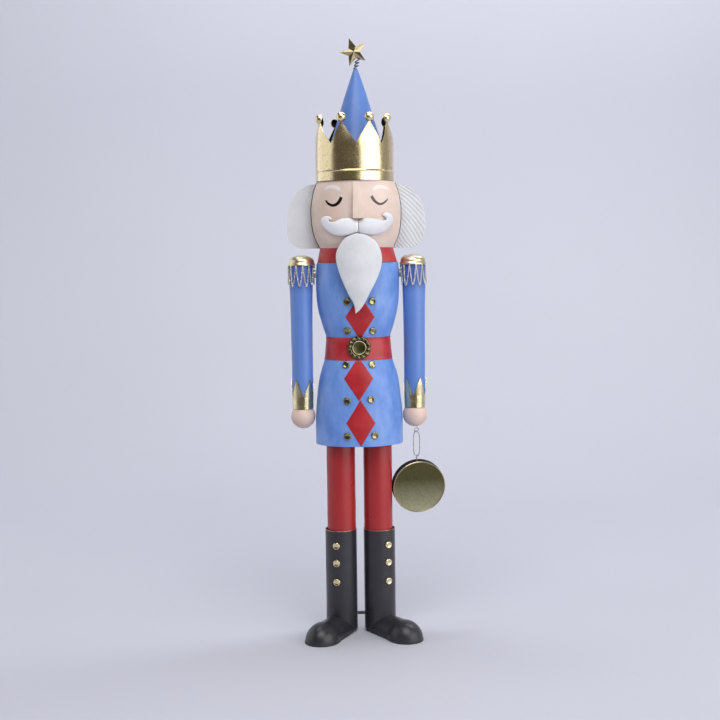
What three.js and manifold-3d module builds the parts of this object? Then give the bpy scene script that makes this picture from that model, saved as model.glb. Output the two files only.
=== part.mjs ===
// Sheet-metal nutcracker king, standing. Millimetres, +Z up, the figure faces -Y.
// "left" and "right" are the figure's own: its left side is +X.
import * as THREE from 'three';
import Module from 'manifold-3d';

const wasm = await Module();
wasm.setup();

// ---- driving dimensions ----
const SHEET = 1;             // sheet metal thickness
const GAP = 0.3;             // clearance between touching pieces

const STANCE_X = -1;         // the feet and legs stand this far off the middle of the coat
const BOOT_X = 39.3, BOOT_R = 32, BOOT_TOP = 214;
const SHOE_REACH = 83, BALL_HALF_W = 34.5, BALL_HALF_L = 39, BALL_HEIGHT = 39;
const INSTEP_HALF_W = 31, INSTEP_HEIGHT = 34.5;
const SHOE_SPLAY = { left: 34, right: 29.5 };           // degrees outward
const BOOT_BUTTON_R = 7.5, BOOT_BUTTON_Z = [184, 148, 109];
const BOOT_BUTTON_TURN = { left: 30, right: 18 };       // degrees outward
const TIE_ROD_R = 3.25, TIE_ROD_Z = 36;
const LEG_X = 37.6, LEG_R = 29;

const HEM_Z = 391, HIP_Z = 397, HIP_T = 2, WAIST_Z = 586, SHOULDER_Z = 757;
const COAT_DEPTH = 0.7;      // depth / width of the coat
const BELT_LOW = 563, BELT_HIGH = 608.5;
const COAT_PROFILE = [       // half width at height
  [HEM_Z, 88.6], [456, 88], [493, 84], [524, 80], [545, 74.4], [574, 65.2], [WAIST_Z, 63.9], [609, 64.4], [620, 68.2],
  [647, 76.2], [680, 82.4], [720, 84], [SHOULDER_Z, 82],
];
const BUCKLE_R = 23.6, BUCKLE_Z = 587.5, BUCKLE_T = 4, SCALLOPS = 13;
const DIAMOND_W = 29;        // half width
const DIAMONDS = [           // name, centre x, centre z, half height, lowest z, highest z
  ['diamond_chest', 2.4, 649.5, 44.5, BELT_HIGH + 0.8, SHOULDER_Z],
  ['diamond_upper', -1.8, 527, 43.5, HEM_Z, BELT_LOW - 0.5],
  ['diamond_lower', 1, 438.5, 46.5, HEM_Z + 0.8, BELT_LOW],
];
const COAT_BUTTON_R = 7.6;
const COAT_BUTTONS = {       // [height, distance from the middle]
  left: [[681, 26.6], [621.6, 27.6], [554.4, 25.2], [485.5, 22], [413.5, 28.4]],
  right: [[681, 22.6], [622.2, 23.2], [554.4, 26.2], [483.2, 25.4], [412.8, 25.8]],
};

const COLLAR_LOW = SHOULDER_Z + GAP, COLLAR_HIGH = 787;
const HEAD_X = -1.2, HEAD_LOW = COLLAR_HIGH + GAP, HEAD_TOP = 917.5;
const HEAD_PROFILE = [       // height, half width, half depth
  [HEAD_LOW, 73.3, 63.5], [796, 78, 68], [812, 84.6, 72.5], [832, 88.4, 76], [856, 89.9, 78],
  [874, 89, 78.5], [898, 84.4, 77.5], [HEAD_TOP, 77.5, 74.5],
];
const NOSE_TOP = 916, NOSE_LOW = 843.5, NOSE_OUT = 13;
const NOSE_TOP_EDGES = [-9.6, 3.2], NOSE_LOW_EDGES = [-11, 10.2];
const HAIR_Y = 8, HAIR_T = 3;
const HAIR_OUTLINE = [       // outer edge from crown to jaw, x on the left side
  [82, 914.5], [94, 913], [102, 910.6], [111, 904.8], [119.8, 896], [129, 884], [135.4, 868.5],
  [138.9, 850], [140, 833.5], [138.4, 815], [134.4, 802], [126.5, 792.6], [115, 787], [98, 787],
  [82, 793],
];
const MOUSTACHE_OUTLINES = { // from the middle along the top edge, round the curl and back
  left: [
    [0.4, 838.4], [5.1, 842], [14.3, 842.8], [34.8, 842.2], [45.2, 839.9], [52, 839], [55, 841.2],
    [48.2, 849], [56.9, 854.5], [63.3, 853], [68.2, 848], [70.4, 839.8], [67.5, 830.7],
    [60, 821.5], [48.3, 814.4], [34.7, 810.9], [20.2, 810.2], [7.9, 812.7], [0.4, 816.5],
  ],
  right: [
    [-0.4, 838.4], [-8.1, 841.5], [-19.2, 844.3], [-30.3, 843.9], [-38.4, 841.2], [-44.9, 837.7],
    [-51, 836], [-56, 838], [-51.5, 843.5], [-56.5, 848.1], [-63.6, 848.8], [-69.7, 845.5],
    [-71.8, 839.5], [-69.9, 831.3], [-63.9, 823], [-54.9, 815.7], [-42.8, 810.4],
    [-28.6, 809.6], [-16.5, 812], [-6.3, 815.3], [-0.4, 817.3],
  ],
};
const BEARD_OUTLINE = [      // from the top down the left edge, round the tip and up the right
  [-2.3, 814.5], [20, 808.9], [34.4, 798], [41.9, 784.9], [45.6, 771.1], [45.4, 757.3],
  [40.7, 740], [31.8, 719.3], [21.1, 698.7], [8.7, 675.5], [-0.2, 663.5], [-7.2, 658],
  [-9.5, 669.5], [-12.2, 680], [-19, 692.3], [-28.4, 713.2], [-36.4, 734.1], [-42.4, 754.9],
  [-43.9, 768.8], [-42.8, 779.1], [-36.7, 792.8], [-26.8, 804], [-19.7, 809],
];

const CROWN_X = -2.8, CROWN_R = 78, CROWN_LOW = 918, CROWN_VALLEY = 990, CROWN_TIP = 1033;
const CROWN_LEAN = 5, CROWN_BALL_R = 9.6, CROWN_BALL_Z = 1040;
const PRONG_TURNS = [-149, -117, -70, -22, 22, 58, 122, 155];   // degrees, 0 is the front
const HAT_PROFILE = [[71, 919], [50.1, 996], [29.8, 1062.5], [20.2, 1093], [4, 1139.5]];
const HAT_LEAN = 1.3;        // sideways shift of the tip
const SPRING_R = 3.8, SPRING_LOW = 1141.2, SPRING_HIGH = 1155.8;
const STAR_R = 29, STAR_NOTCH_R = 12.6, STAR_T = 6.8, STAR_X = -2, STAR_Z = 1173.2, STAR_TURN = 18.5;

const ARM_X = 113.8, SHOULDER_PIVOT_Z = 735, BOLT_R = 8;
const ARM_PROFILE = [[19.9, 464], [21.2, 525], [21.6, 598], [22.5, 680], [23.4, 709], [23.8, 756]];
const CUFF_LOW = 463, CUFF_VALLEY = 487.5, CUFF_TIP = 523, CUFF_TEETH = 5;
const CUFF_TURN = { left: -12, right: 5 };              // degrees to the first gap between teeth
const HAND_R = 24.8, HAND_Z = 447;
const CAP_SHIFT = 1.8, CAP_R = 27.2, CAP_LOW = 752, CAP_LIP = 759.5, CAP_TOP = 773;
const FRINGE_R = 26.8, FRINGE_LOW = 708.5;

const HANG_X = 116.6, EYE_Z = 414.3, EYE_R = 4.2, EYE_WIRE = 1.15;
const LINK_HIGH = 412.6, LINK_LOW = 361, LINK_HALF_W = 6.5, LINK_WIRE = 1;
const DRUM_R = 54.4, DRUM_T = 20, DRUM_X = 5, DRUM_Z = 296.8, DRUM_YAW = 8, DRUM_LEAN = 8;
const STAPLE_HALF_W = 2.6, STAPLE_WIRE = 0.9;

const ROUND = 28, SMALL_ROUND = 20;  // sides of the larger and the smaller turned shapes

const rad = THREE.MathUtils.degToRad;
const sides = [['left', 1], ['right', -1]];

// ---- materials ----
const paint = (color, roughness = 0.45) => () =>
  new THREE.MeshStandardMaterial({ color, roughness, metalness: 0.1 });
const BLUE = paint(0x6a94e0);
const RED = paint(0xa8303a);
const SKIN = paint(0xe0c0b2);
const WHITE = paint(0xdfe4ea, 0.6);
const BLACK = paint(0x34343a);
const GOLD = () => new THREE.MeshStandardMaterial({ color: 0xb39a5a, roughness: 0.3, metalness: 1 });
const STEEL = () => new THREE.MeshStandardMaterial({ color: 0x77777c, roughness: 0.4, metalness: 1 });

// ---- solids ----
function toSolid(geometry) {
  let g = geometry.index ? geometry.toNonIndexed() : geometry.clone();
  g.deleteAttribute('normal');
  g.deleteAttribute('uv');
  const p = g.attributes.position;
  const seen = new Map(), verts = [], tris = [];
  for (let i = 0; i < p.count; i += 3) {
    const corner = [0, 1, 2].map((k) => {
      const v = [p.getX(i + k), p.getY(i + k), p.getZ(i + k)];
      const key = v.map((c) => Math.round(c * 1e4)).join();
      if (!seen.has(key)) {
        seen.set(key, verts.length / 3);
        verts.push(...v);
      }
      return seen.get(key);
    });
    if (new Set(corner).size === 3) tris.push(...corner);
  }
  return new wasm.Manifold(new wasm.Mesh({
    numProp: 3,
    vertProperties: new Float32Array(verts),
    triVerts: new Uint32Array(tris),
  }));
}

function toGeometry(solid) {
  const mesh = solid.getMesh();
  const g = new THREE.BufferGeometry();
  g.setAttribute('position', new THREE.BufferAttribute(new Float32Array(mesh.vertProperties), 3));
  g.setIndex(new THREE.BufferAttribute(new Uint32Array(mesh.triVerts), 1));
  const flat = g.toNonIndexed();
  flat.computeVertexNormals();
  return flat;
}

const group = new THREE.Group();
function add(name, shape, material) {
  const geometry = shape.isBufferGeometry ? shape : toGeometry(shape);
  const mesh = new THREE.Mesh(geometry, material());
  mesh.name = name;
  group.add(mesh);
}

// Turned shape about Z from [radius, height] points; the points start and end on the axis or close.
function turn(points, segments) {
  return new THREE.LatheGeometry(points.map(([r, z]) => new THREE.Vector2(r, z)), segments)
    .rotateX(Math.PI / 2);
}
const closed = (points) => [...points, points[0]];

// Moves every vertex of a geometry with move(vector).
function warp(geometry, move) {
  const p = geometry.attributes.position;
  const v = new THREE.Vector3();
  for (let i = 0; i < p.count; i += 1) {
    move(v.fromBufferAttribute(p, i));
    p.setXYZ(i, v.x, v.y, v.z);
  }
  return geometry;
}

function interpolate(rows, z, column) {
  if (z <= rows[0][0]) return rows[0][column];
  for (let i = 1; i < rows.length; i += 1) {
    if (z <= rows[i][0]) {
      const t = (z - rows[i - 1][0]) / (rows[i][0] - rows[i - 1][0]);
      return rows[i - 1][column] * (1 - t) + rows[i][column] * t;
    }
  }
  return rows[rows.length - 1][column];
}

// A solid cut from a flat outline in the XZ plane, running from y = front to y = back.
function plate(points, front, back, smooth) {
  const flat = points.map(([x, z]) => new THREE.Vector2(x, z));
  const shape = smooth
    ? new THREE.Shape(new THREE.SplineCurve([...flat, flat[0]]).getPoints(smooth).slice(0, -1))
    : new THREE.Shape(flat);
  const g = new THREE.ExtrudeGeometry(shape, { depth: back - front, bevelEnabled: false });
  return toSolid(g.rotateX(Math.PI / 2).translate(0, back, 0));
}

const box = (w, d, h, x, y, z) => toSolid(new THREE.BoxGeometry(w, d, h).translate(x, y, z));

// ---- coat: skirt, jacket, belt and everything that follows their surface ----
const coatWidth = (z) => interpolate(COAT_PROFILE, z, 1);
const coatFront = (x, z, out = 0) => {
  const w = coatWidth(z) + out;
  return -(coatWidth(z) * COAT_DEPTH + out) * Math.sqrt(1 - (x / w) ** 2);
};
const coatRows = (low, high) => [
  low,
  ...COAT_PROFILE.map(([z]) => z).filter((z) => z > low + 1 && z < high - 1),
  high,
];

// Solid with the coat's section grown by out, between two heights.
function coatSolid(low, high, out) {
  const rows = coatRows(low, high);
  const profile = [[0, low], ...rows.map((z) => [coatWidth(z), z]), [0, high]];
  return toSolid(warp(turn(profile, ROUND), (v) => {
    const r = Math.hypot(v.x, v.y);
    if (r < 1e-6) return;
    const w = coatWidth(v.z);
    v.x *= (w + out) / w;
    v.y *= (w * COAT_DEPTH + out) / w;
  }));
}

function skirt() {
  const inside = coatSolid(HEM_Z, WAIST_Z, -SHEET)
    .add(coatSolid(HEM_Z, HEM_Z + 1, -SHEET).translate([0, 0, -1]))
    .add(coatSolid(WAIST_Z - 1, WAIST_Z, -SHEET).translate([0, 0, 1]));
  return coatSolid(HEM_Z, WAIST_Z - GAP / 2, 0).subtract(inside);
}

function jacket() {
  const inside = coatSolid(WAIST_Z, SHOULDER_Z - SHEET, -SHEET)
    .add(coatSolid(WAIST_Z, WAIST_Z + 1, -SHEET).translate([0, 0, -1]));
  return coatSolid(WAIST_Z + GAP / 2, SHOULDER_Z, 0).subtract(inside);
}

const layer = (low, high, inner, outer) =>
  coatSolid(low, high, outer).subtract(coatSolid(low - 2, high + 2, inner));

const hipPlate = () => coatSolid(HIP_Z, HIP_Z + HIP_T, -SHEET - GAP);
const belt = () => layer(BELT_LOW, BELT_HIGH, GAP, GAP + SHEET);

function diamond(x, z, half, low, high) {
  const outline = [
    [x, z - half], [x + DIAMOND_W, z], [x, z + half], [x - DIAMOND_W, z],
  ];
  return layer(low, high, GAP, GAP + SHEET).intersect(plate(outline, -90, -20));
}

function buckle() {
  const outline = new THREE.Shape();
  const steps = SCALLOPS * 6;
  for (let i = 0; i < steps; i += 1) {
    const a = (i / steps) * Math.PI * 2;
    const r = BUCKLE_R - 1.6 + 1.6 * Math.abs(Math.sin((a * SCALLOPS) / 2));
    outline[i ? 'lineTo' : 'moveTo'](r * Math.cos(a), r * Math.sin(a));
  }
  const rim = toSolid(new THREE.ExtrudeGeometry(outline, { depth: BUCKLE_T, bevelEnabled: false }));
  const boss = toSolid(turn(
    [[0, 1], [13, 1], [13, BUCKLE_T + 1], [10.5, BUCKLE_T + 2], [8, BUCKLE_T], [0, 2.5]], 32));
  const well = toSolid(turn([[0, 2.5], [8, BUCKLE_T], [8, 20], [0, 20]], 32));
  const y = coatFront(0, BELT_LOW, GAP + SHEET) - GAP;
  return rim.add(boss).subtract(well).rotate([90, 0, 0]).translate([0, y, BUCKLE_Z]);
}

// Low domed stud with a flat back, pointing along -Y.
function stud(radius) {
  return turn([[0, 0], [radius, 0], [radius, 1.4], [radius * 0.6, 3.5], [0, 4.2]], 10)
    .rotateX(Math.PI / 2);
}

function coatButton(x, z) {
  const w = coatWidth(z), d = w * COAT_DEPTH;
  const y = coatFront(x, z);
  const lean = (coatWidth(z + 5) - coatWidth(z - 5)) / 10 * COAT_DEPTH;
  const normal = new THREE.Vector3(x / (w * w), y / (d * d), 0).normalize();
  normal.z = -lean;
  const g = stud(COAT_BUTTON_R);
  g.applyQuaternion(new THREE.Quaternion().setFromUnitVectors(
    new THREE.Vector3(0, -1, 0), normal.clone().normalize()));
  return g.translate(x + normal.x * 0.9, y + normal.y * 0.9, z + normal.z * 0.9);
}

// ---- feet and legs ----
const bootTube = (side) => turn([
  [0, 0], [BOOT_R, 0], [BOOT_R, BOOT_TOP], [BOOT_R - SHEET, BOOT_TOP],
  [BOOT_R - SHEET, SHEET], [0, SHEET],
], ROUND).translate(side * BOOT_X + STANCE_X, 0, 0);

const leg = (side) => turn(closed([
  [LEG_R, SHEET + GAP], [LEG_R, HIP_Z - GAP], [LEG_R - SHEET, HIP_Z - GAP],
  [LEG_R - SHEET, SHEET + GAP],
]), ROUND).translate(side * LEG_X + STANCE_X, 0, 0);

// Shoe skin: an instep rising to the boot and a round toe, over an open sole.
function shoeForm(inset) {
  const toe = toSolid(warp(new THREE.SphereGeometry(1, 16, 10), (v) => {
    v.set(v.x * (BALL_HALF_W - inset), v.y * (BALL_HALF_L - inset) - SHOE_REACH,
      v.z * (BALL_HEIGHT - inset));
  }));
  const instep = toSolid(warp(new THREE.CylinderGeometry(1, 1, SHOE_REACH, 20), (v) => {
    v.set(v.x * (INSTEP_HALF_W - inset), v.y - SHOE_REACH / 2, v.z * (INSTEP_HEIGHT - inset));
  }));
  return toe.add(instep);
}

function shoe(name, side) {
  const hollow = shoeForm(SHEET + 0.4).subtract(box(200, 200, 3, 0, 0, -1.5));
  const tube = toSolid(turn([
    [0, -10], [BOOT_R + GAP, -10], [BOOT_R + GAP, 90], [0, 90]], ROUND));
  return shoeForm(0).subtract(hollow)
    .subtract(box(300, 300, 100, 0, 0, -50))
    .subtract(hollow.translate([0, 0, -2]))
    .subtract(tube)
    .subtract(box(300, 100, 200, 0, 50, 0))
    .rotate([0, 0, side * SHOE_SPLAY[name]])
    .translate([side * BOOT_X + STANCE_X, 0, 0]);
}

function bootButton(name, side, z) {
  return stud(BOOT_BUTTON_R)
    .translate(0, -BOOT_R - 1.3, 0)
    .rotateZ(side * rad(BOOT_BUTTON_TURN[name]))
    .translate(side * BOOT_X + STANCE_X, 0, z);
}

function tieRod() {
  const reach = BOOT_X - BOOT_R - GAP;
  return new THREE.CylinderGeometry(TIE_ROD_R, TIE_ROD_R, 2 * reach, 16)
    .rotateZ(Math.PI / 2).translate(STANCE_X, 0, TIE_ROD_Z);
}

// ---- head ----
function headSolid(out, low = HEAD_LOW, high = HEAD_TOP) {
  const rows = [low, ...HEAD_PROFILE.map(([z]) => z).filter((z) => z > low && z < high), high];
  const profile = [[0, low], ...rows.map((z) => [interpolate(HEAD_PROFILE, z, 1), z]), [0, high]];
  return toSolid(warp(turn(profile, ROUND), (v) => {
    const w = interpolate(HEAD_PROFILE, v.z, 1), d = interpolate(HEAD_PROFILE, v.z, 2);
    v.x = v.x * (w + out) / w + HEAD_X;
    v.y *= (d + out) / w;
  }));
}

function headShell() {
  return headSolid(0).subtract(headSolid(-SHEET, HEAD_LOW - 1, HEAD_TOP + 1));
}

function collar() {
  const low = [coatWidth(SHOULDER_Z) - 1.5, (coatWidth(SHOULDER_Z) - 1.5) * COAT_DEPTH];
  const high = [HEAD_PROFILE[0][1], HEAD_PROFILE[0][2]];
  const ring = turn(closed([
    [1, COLLAR_LOW], [1, COLLAR_HIGH], [0.97, COLLAR_HIGH], [0.97, COLLAR_LOW]]), ROUND);
  return warp(ring, (v) => {
    const t = (v.z - COLLAR_LOW) / (COLLAR_HIGH - COLLAR_LOW);
    v.x = v.x * (low[0] * (1 - t) + high[0] * t) + HEAD_X * t;
    v.y *= low[1] * (1 - t) + high[1] * t;
  });
}

// Folded wedge that leaves the face at the brow, and widens and stands out towards the tip.
function nose() {
  const wedge = warp(new THREE.BoxGeometry(2, 2, 2), (v) => {
    const low = v.z < 0, front = v.y < 0;
    v.set((low ? NOSE_LOW_EDGES : NOSE_TOP_EDGES)[v.x > 0 ? 1 : 0],
      front ? -78 - (low ? NOSE_OUT : 1) : -60, low ? NOSE_LOW : NOSE_TOP);
  });
  return toSolid(wedge).subtract(headSolid(GAP));
}

function hairPlate(side) {
  const inner = [[60, 800], [60, 905]];
  const outline = [...HAIR_OUTLINE, ...inner].map(([x, z]) => [x * side, z]);
  return plate(side > 0 ? outline : outline.reverse(), HAIR_Y, HAIR_Y + HAIR_T)
    .subtract(headSolid(GAP, HEAD_LOW - 5, HEAD_TOP + 5))
    .subtract(box(400, 60, 40, 0, 0, CROWN_LOW + 20 - GAP));
}

// Skin that follows the face between two offsets.
const faceLayer = (inner, outer) =>
  headSolid(outer, HEAD_LOW, HEAD_TOP).subtract(headSolid(inner, HEAD_LOW - 1, HEAD_TOP + 1));

const moustache = (name) =>
  faceLayer(3.2, 6.2).intersect(plate(MOUSTACHE_OUTLINES[name], -110, 0, 44));

// Bowed leaf hanging from under the moustache in front of the chest.
function beard() {
  const bow = (r) => toSolid(turn([
    [0, 640], [r - 5, 640], [r - 1, 690], [r, 735], [r, 780], [r - 1, 825], [0, 825]], 40));
  return bow(70).subtract(bow(68.4).add(box(200, 200, 2, 0, 0, 640)).add(box(200, 200, 2, 0, 0, 825)))
    .translate([1, -10.2, 0])
    .intersect(plate(BEARD_OUTLINE, -110, -20, 48))
    .subtract(box(200, 200, 40, 0, 0, 809 + 20));
}

// ---- crown, hat and star ----
function crown() {
  const lean = (z) => CROWN_R - (z > CROWN_VALLEY
    ? CROWN_LEAN * (z - CROWN_VALLEY) / (CROWN_TIP - CROWN_VALLEY) : 0);
  const heights = [CROWN_LOW, CROWN_VALLEY, CROWN_TIP];
  let band = toSolid(turn(closed([
    ...heights.map((z) => [lean(z), z]),
    ...[...heights].reverse().map((z) => [lean(z) - SHEET, z]),
  ]), 40));
  const bowl = turn(closed([
    ...[0, 45, 90].map((a) => [CROWN_BALL_R * Math.cos(rad(a)), CROWN_BALL_R * Math.sin(rad(a))]),
    ...[90, 45, 0].map((a) => [
      (CROWN_BALL_R - SHEET) * Math.cos(rad(a)), (CROWN_BALL_R - SHEET) * Math.sin(rad(a))]),
  ]), 8).rotateX(Math.PI / 2).translate(0, -lean(CROWN_TIP) + 1, CROWN_BALL_Z);
  const ball = toSolid(bowl);
  PRONG_TURNS.forEach((turned, i) => {
    const next = PRONG_TURNS[i + 1] ?? PRONG_TURNS[0] + 360;
    const half = rad((next - turned) / 2) * CROWN_R - 3.5;
    const notch = plate([
      [-half, CROWN_TIP + 1], [0, CROWN_VALLEY], [half, CROWN_TIP + 1]], -90, -40);
    band = band.subtract(notch.rotate([0, 0, (turned + next) / 2]));
  });
  for (const turned of PRONG_TURNS) band = band.add(ball.rotate([0, 0, turned]));
  return band.translate([CROWN_X, 0, 0]);
}

function hat() {
  const tip = HAT_PROFILE[HAT_PROFILE.length - 1];
  return warp(turn([
    [0, tip[1]], ...[...HAT_PROFILE].reverse(),
    ...HAT_PROFILE.map(([r, z]) => [Math.max(r - SHEET, 1.2), Math.min(z, tip[1] - SHEET)]),
    [0, tip[1] - SHEET],
  ].reverse(), ROUND), (v) => {
    v.x += CROWN_X + (HAT_LEAN - CROWN_X) * (v.z - HAT_PROFILE[0][1]) / (tip[1] - HAT_PROFILE[0][1]);
  });
}

const springCoil = () => turn([
  [0, SPRING_LOW], [SPRING_R, SPRING_LOW], [SPRING_R, SPRING_HIGH], [0, SPRING_HIGH],
], 16).translate(HAT_LEAN, 0, 0);

// Five-pointed faceted star: a ten-sided double pyramid with every other corner drawn in.
function star() {
  return warp(turn([[0, -STAR_T], [STAR_R, 0], [0, STAR_T]], 10), (v) => {
    const r = Math.hypot(v.x, v.y);
    if (r < 1e-6) return;
    const corner = Math.round(Math.atan2(v.x, -v.y) / (Math.PI / 5));
    v.multiplyScalar(corner % 2 ? STAR_NOTCH_R / STAR_R : 1);
  }).rotateX(Math.PI / 2).rotateY(rad(180 - STAR_TURN)).translate(STAR_X, 0, STAR_Z);
}

// ---- arms ----
const armRadius = (z) => interpolate(ARM_PROFILE.map(([r, h]) => [h, r]), z, 1);

const arm = (side) => turn(closed([
  ...ARM_PROFILE, ...[...ARM_PROFILE].reverse().map(([r, z]) => [r - SHEET, z]),
]), SMALL_ROUND).translate(side * ARM_X, 0, 0);

// Cuff with tall teeth standing up round the forearm.
function cuff(name, side) {
  const inner = (z) => armRadius(z) + GAP + (z > CUFF_VALLEY ? (z - CUFF_VALLEY) * 0.03 : 0);
  const rows = [CUFF_LOW, CUFF_VALLEY, CUFF_TIP];
  let band = toSolid(turn(closed([
    ...rows.map((z) => [inner(z) + SHEET, z]),
    ...[...rows].reverse().map((z) => [inner(z), z]),
  ]), SMALL_ROUND));
  const half = Math.PI * armRadius(CUFF_TIP) / CUFF_TEETH - 0.6;
  const notch = plate([[-half, CUFF_TIP + 1], [0, CUFF_VALLEY], [half, CUFF_TIP + 1]], -40, -8);
  for (let i = 0; i < CUFF_TEETH; i += 1) {
    band = band.subtract(notch.rotate([0, 0, (i * 360) / CUFF_TEETH + CUFF_TURN[name]]));
  }
  return band.translate([side * ARM_X, 0, 0]);
}

// Hollow ball with an opening on top, inside the cuff.
function hand(side) {
  const arc = (r, from, to) => Array.from({ length: 7 }, (_, i) => {
    const a = rad(from + ((to - from) * i) / 6);
    return [r * Math.cos(a), HAND_Z + r * Math.sin(a)];
  });
  const outer = arc(HAND_R, -90, 68), inner = arc(HAND_R - SHEET, 68, -90);
  outer[0][0] = 0;
  inner[6][0] = 0;
  return turn([...outer, ...inner], SMALL_ROUND).translate(side * ARM_X, 0, 0);
}

const epaulette = (side) => turn([
  [0, CAP_TOP - SHEET], [9, CAP_TOP - SHEET - 1], [18, CAP_TOP - SHEET - 4.5],
  [CAP_R - SHEET, CAP_LIP - 1], [CAP_R - SHEET, CAP_LOW], [CAP_R, CAP_LOW], [CAP_R, CAP_LIP],
  [18.6, CAP_TOP - 3.6], [9, CAP_TOP - 0.9], [0, CAP_TOP],
], SMALL_ROUND).translate(side * (ARM_X - CAP_SHIFT), 0, 0);

// Band that the fringe fills, with a hole where the shoulder bolt passes.
function fringe(side) {
  const band = toSolid(turn(closed([
    [FRINGE_R, FRINGE_LOW], [FRINGE_R, CAP_LOW - GAP], [FRINGE_R - SHEET, CAP_LOW - GAP],
    [FRINGE_R - SHEET, FRINGE_LOW],
  ]), SMALL_ROUND));
  const hole = toSolid(new THREE.CylinderGeometry(BOLT_R + 0.8, BOLT_R + 0.8, 40, 16)
    .rotateZ(Math.PI / 2).translate(-side * 25, 0, SHOULDER_PIVOT_Z));
  return band.subtract(hole).translate([side * ARM_X, 0, 0]);
}

function shoulderBolt(side) {
  const from = coatWidth(SHOULDER_PIVOT_Z - BOLT_R) + GAP;
  const to = ARM_X - armRadius(SHOULDER_PIVOT_Z) - GAP;
  return new THREE.CylinderGeometry(BOLT_R, BOLT_R, to - from, 16)
    .rotateZ(Math.PI / 2).translate(side * (from + to) / 2, 0, SHOULDER_PIVOT_Z);
}

// ---- hanging drum ----
function screwEye() {
  const ring = toSolid(new THREE.TorusGeometry(EYE_R, EYE_WIRE, 6, 16).rotateY(Math.PI / 2));
  const shank = toSolid(new THREE.CylinderGeometry(EYE_WIRE, EYE_WIRE, 3.4, 10).rotateX(Math.PI / 2)
    .translate(0, 0, EYE_R + 0.8));
  const palm = toSolid(new THREE.SphereGeometry(HAND_R + GAP, 24, 16)
    .translate(ARM_X - HANG_X, 0, HAND_Z - EYE_Z));
  return ring.add(shank).subtract(palm).translate([HANG_X, 0, EYE_Z]);
}

function drumLink() {
  const stretch = (LINK_HIGH - LINK_LOW) / 2 - LINK_HALF_W;
  return warp(new THREE.TorusGeometry(LINK_HALF_W, LINK_WIRE, 6, 20).rotateX(Math.PI / 2), (v) => {
    v.z += v.z > -1e-6 ? stretch : -stretch;
  }).translate(HANG_X, 0, (LINK_HIGH + LINK_LOW) / 2);
}

function staple() {
  const top = LINK_LOW + LINK_WIRE + GAP + STAPLE_WIRE;
  const path = new THREE.CurvePath();
  const corner = new THREE.Vector3(-DRUM_X, -STAPLE_HALF_W, DRUM_Z + DRUM_R - 0.7);
  const shoulder = corner.clone().setZ(top - STAPLE_HALF_W);
  path.add(new THREE.LineCurve3(corner, shoulder));
  path.add(new THREE.CubicBezierCurve3(shoulder,
    shoulder.clone().setZ(top + 0.9), shoulder.clone().set(-DRUM_X, STAPLE_HALF_W, top + 0.9),
    shoulder.clone().setY(STAPLE_HALF_W)));
  path.add(new THREE.LineCurve3(shoulder.clone().setY(STAPLE_HALF_W),
    corner.clone().setY(STAPLE_HALF_W)));
  const section = new THREE.Shape().absarc(0, 0, STAPLE_WIRE, 0, Math.PI * 2);
  return toSolid(new THREE.ExtrudeGeometry(section, {
    extrudePath: path, steps: 14, curveSegments: 4, bevelEnabled: false,
  }));
}

const drumTurned = (points) => toSolid(turn(points, ROUND).rotateX(Math.PI / 2));

// Shallow pan: the rim band and the back sheet; the front sheet is a piece of its own.
function drumShell() {
  const half = DRUM_T / 2;
  const pan = drumTurned([
    [0, -half + 0.4], [DRUM_R - 1, -half + 0.4], [DRUM_R - 0.4, -half], [DRUM_R, -half + 0.6],
    [DRUM_R, half - 0.6], [DRUM_R - 0.4, half], [DRUM_R - SHEET, half],
    [DRUM_R - SHEET, -half + SHEET + 0.4], [0, -half + SHEET + 0.4],
  ]).translate([0, 0, DRUM_Z]);
  const cavity = drumTurned([
    [0, -half + SHEET + 0.4], [DRUM_R - SHEET, -half + SHEET + 0.4], [DRUM_R - SHEET, half + 1],
    [0, half + 1]]).translate([0, 0, DRUM_Z]);
  return pan.add(staple().subtract(cavity));
}

function drumHead() {
  const half = DRUM_T / 2, r = DRUM_R - SHEET - GAP;
  return drumTurned([[0, half - SHEET - 0.4], [r, half - SHEET - 0.4], [r, half - 0.4], [0, half - 0.4]])
    .translate([0, 0, DRUM_Z]);
}

// Hangs a drum piece under the link: leaned about the bottom of the link, then turned.
const hung = (solid) => solid.translate([DRUM_X, 0, -LINK_LOW])
  .rotate([DRUM_LEAN, 0, 0]).rotate([0, 0, DRUM_YAW]).translate([HANG_X, 0, LINK_LOW]);

// ---- assembly ----
for (const [name, side] of sides) {
  add(`boot_tube_${name}`, bootTube(side), BLACK);
  add(`shoe_${name}`, shoe(name, side), BLACK);
  BOOT_BUTTON_Z.forEach((z, i) => {
    add(`boot_button_${name}_${i + 1}`, bootButton(name, side, z), GOLD);
  });
  add(`leg_${name}`, leg(side), RED);
}
add('foot_tie_rod', tieRod(), BLACK);
add('hip_plate', hipPlate(), BLACK);
add('skirt', skirt(), BLUE);
add('jacket', jacket(), BLUE);
add('belt', belt(), RED);
add('buckle', buckle(), GOLD);
for (const [name, ...place] of DIAMONDS) add(name, diamond(...place), RED);
for (const [name, side] of sides) {
  COAT_BUTTONS[name].forEach(([z, x], i) => {
    add(`coat_button_${name}_${i + 1}`, coatButton(side * x, z), GOLD);
  });
}

add('collar', collar(), RED);
const head = headShell();
add('face', head.subtract(box(300, 100, 300, 0, 50 - GAP / 2, 850)), SKIN);
add('head_back', head.subtract(box(300, 100, 300, 0, -50 + GAP / 2, 850)), SKIN);
add('nose', nose(), SKIN);
for (const [name, side] of sides) {
  add(`hair_plate_${name}`, hairPlate(side), WHITE);
  add(`moustache_${name}`, moustache(name), WHITE);
}
add('beard', beard(), WHITE);
add('crown', crown(), GOLD);
add('hat_cone', hat(), BLUE);
add('star_spring', springCoil(), BLUE);
add('star', star(), GOLD);

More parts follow.
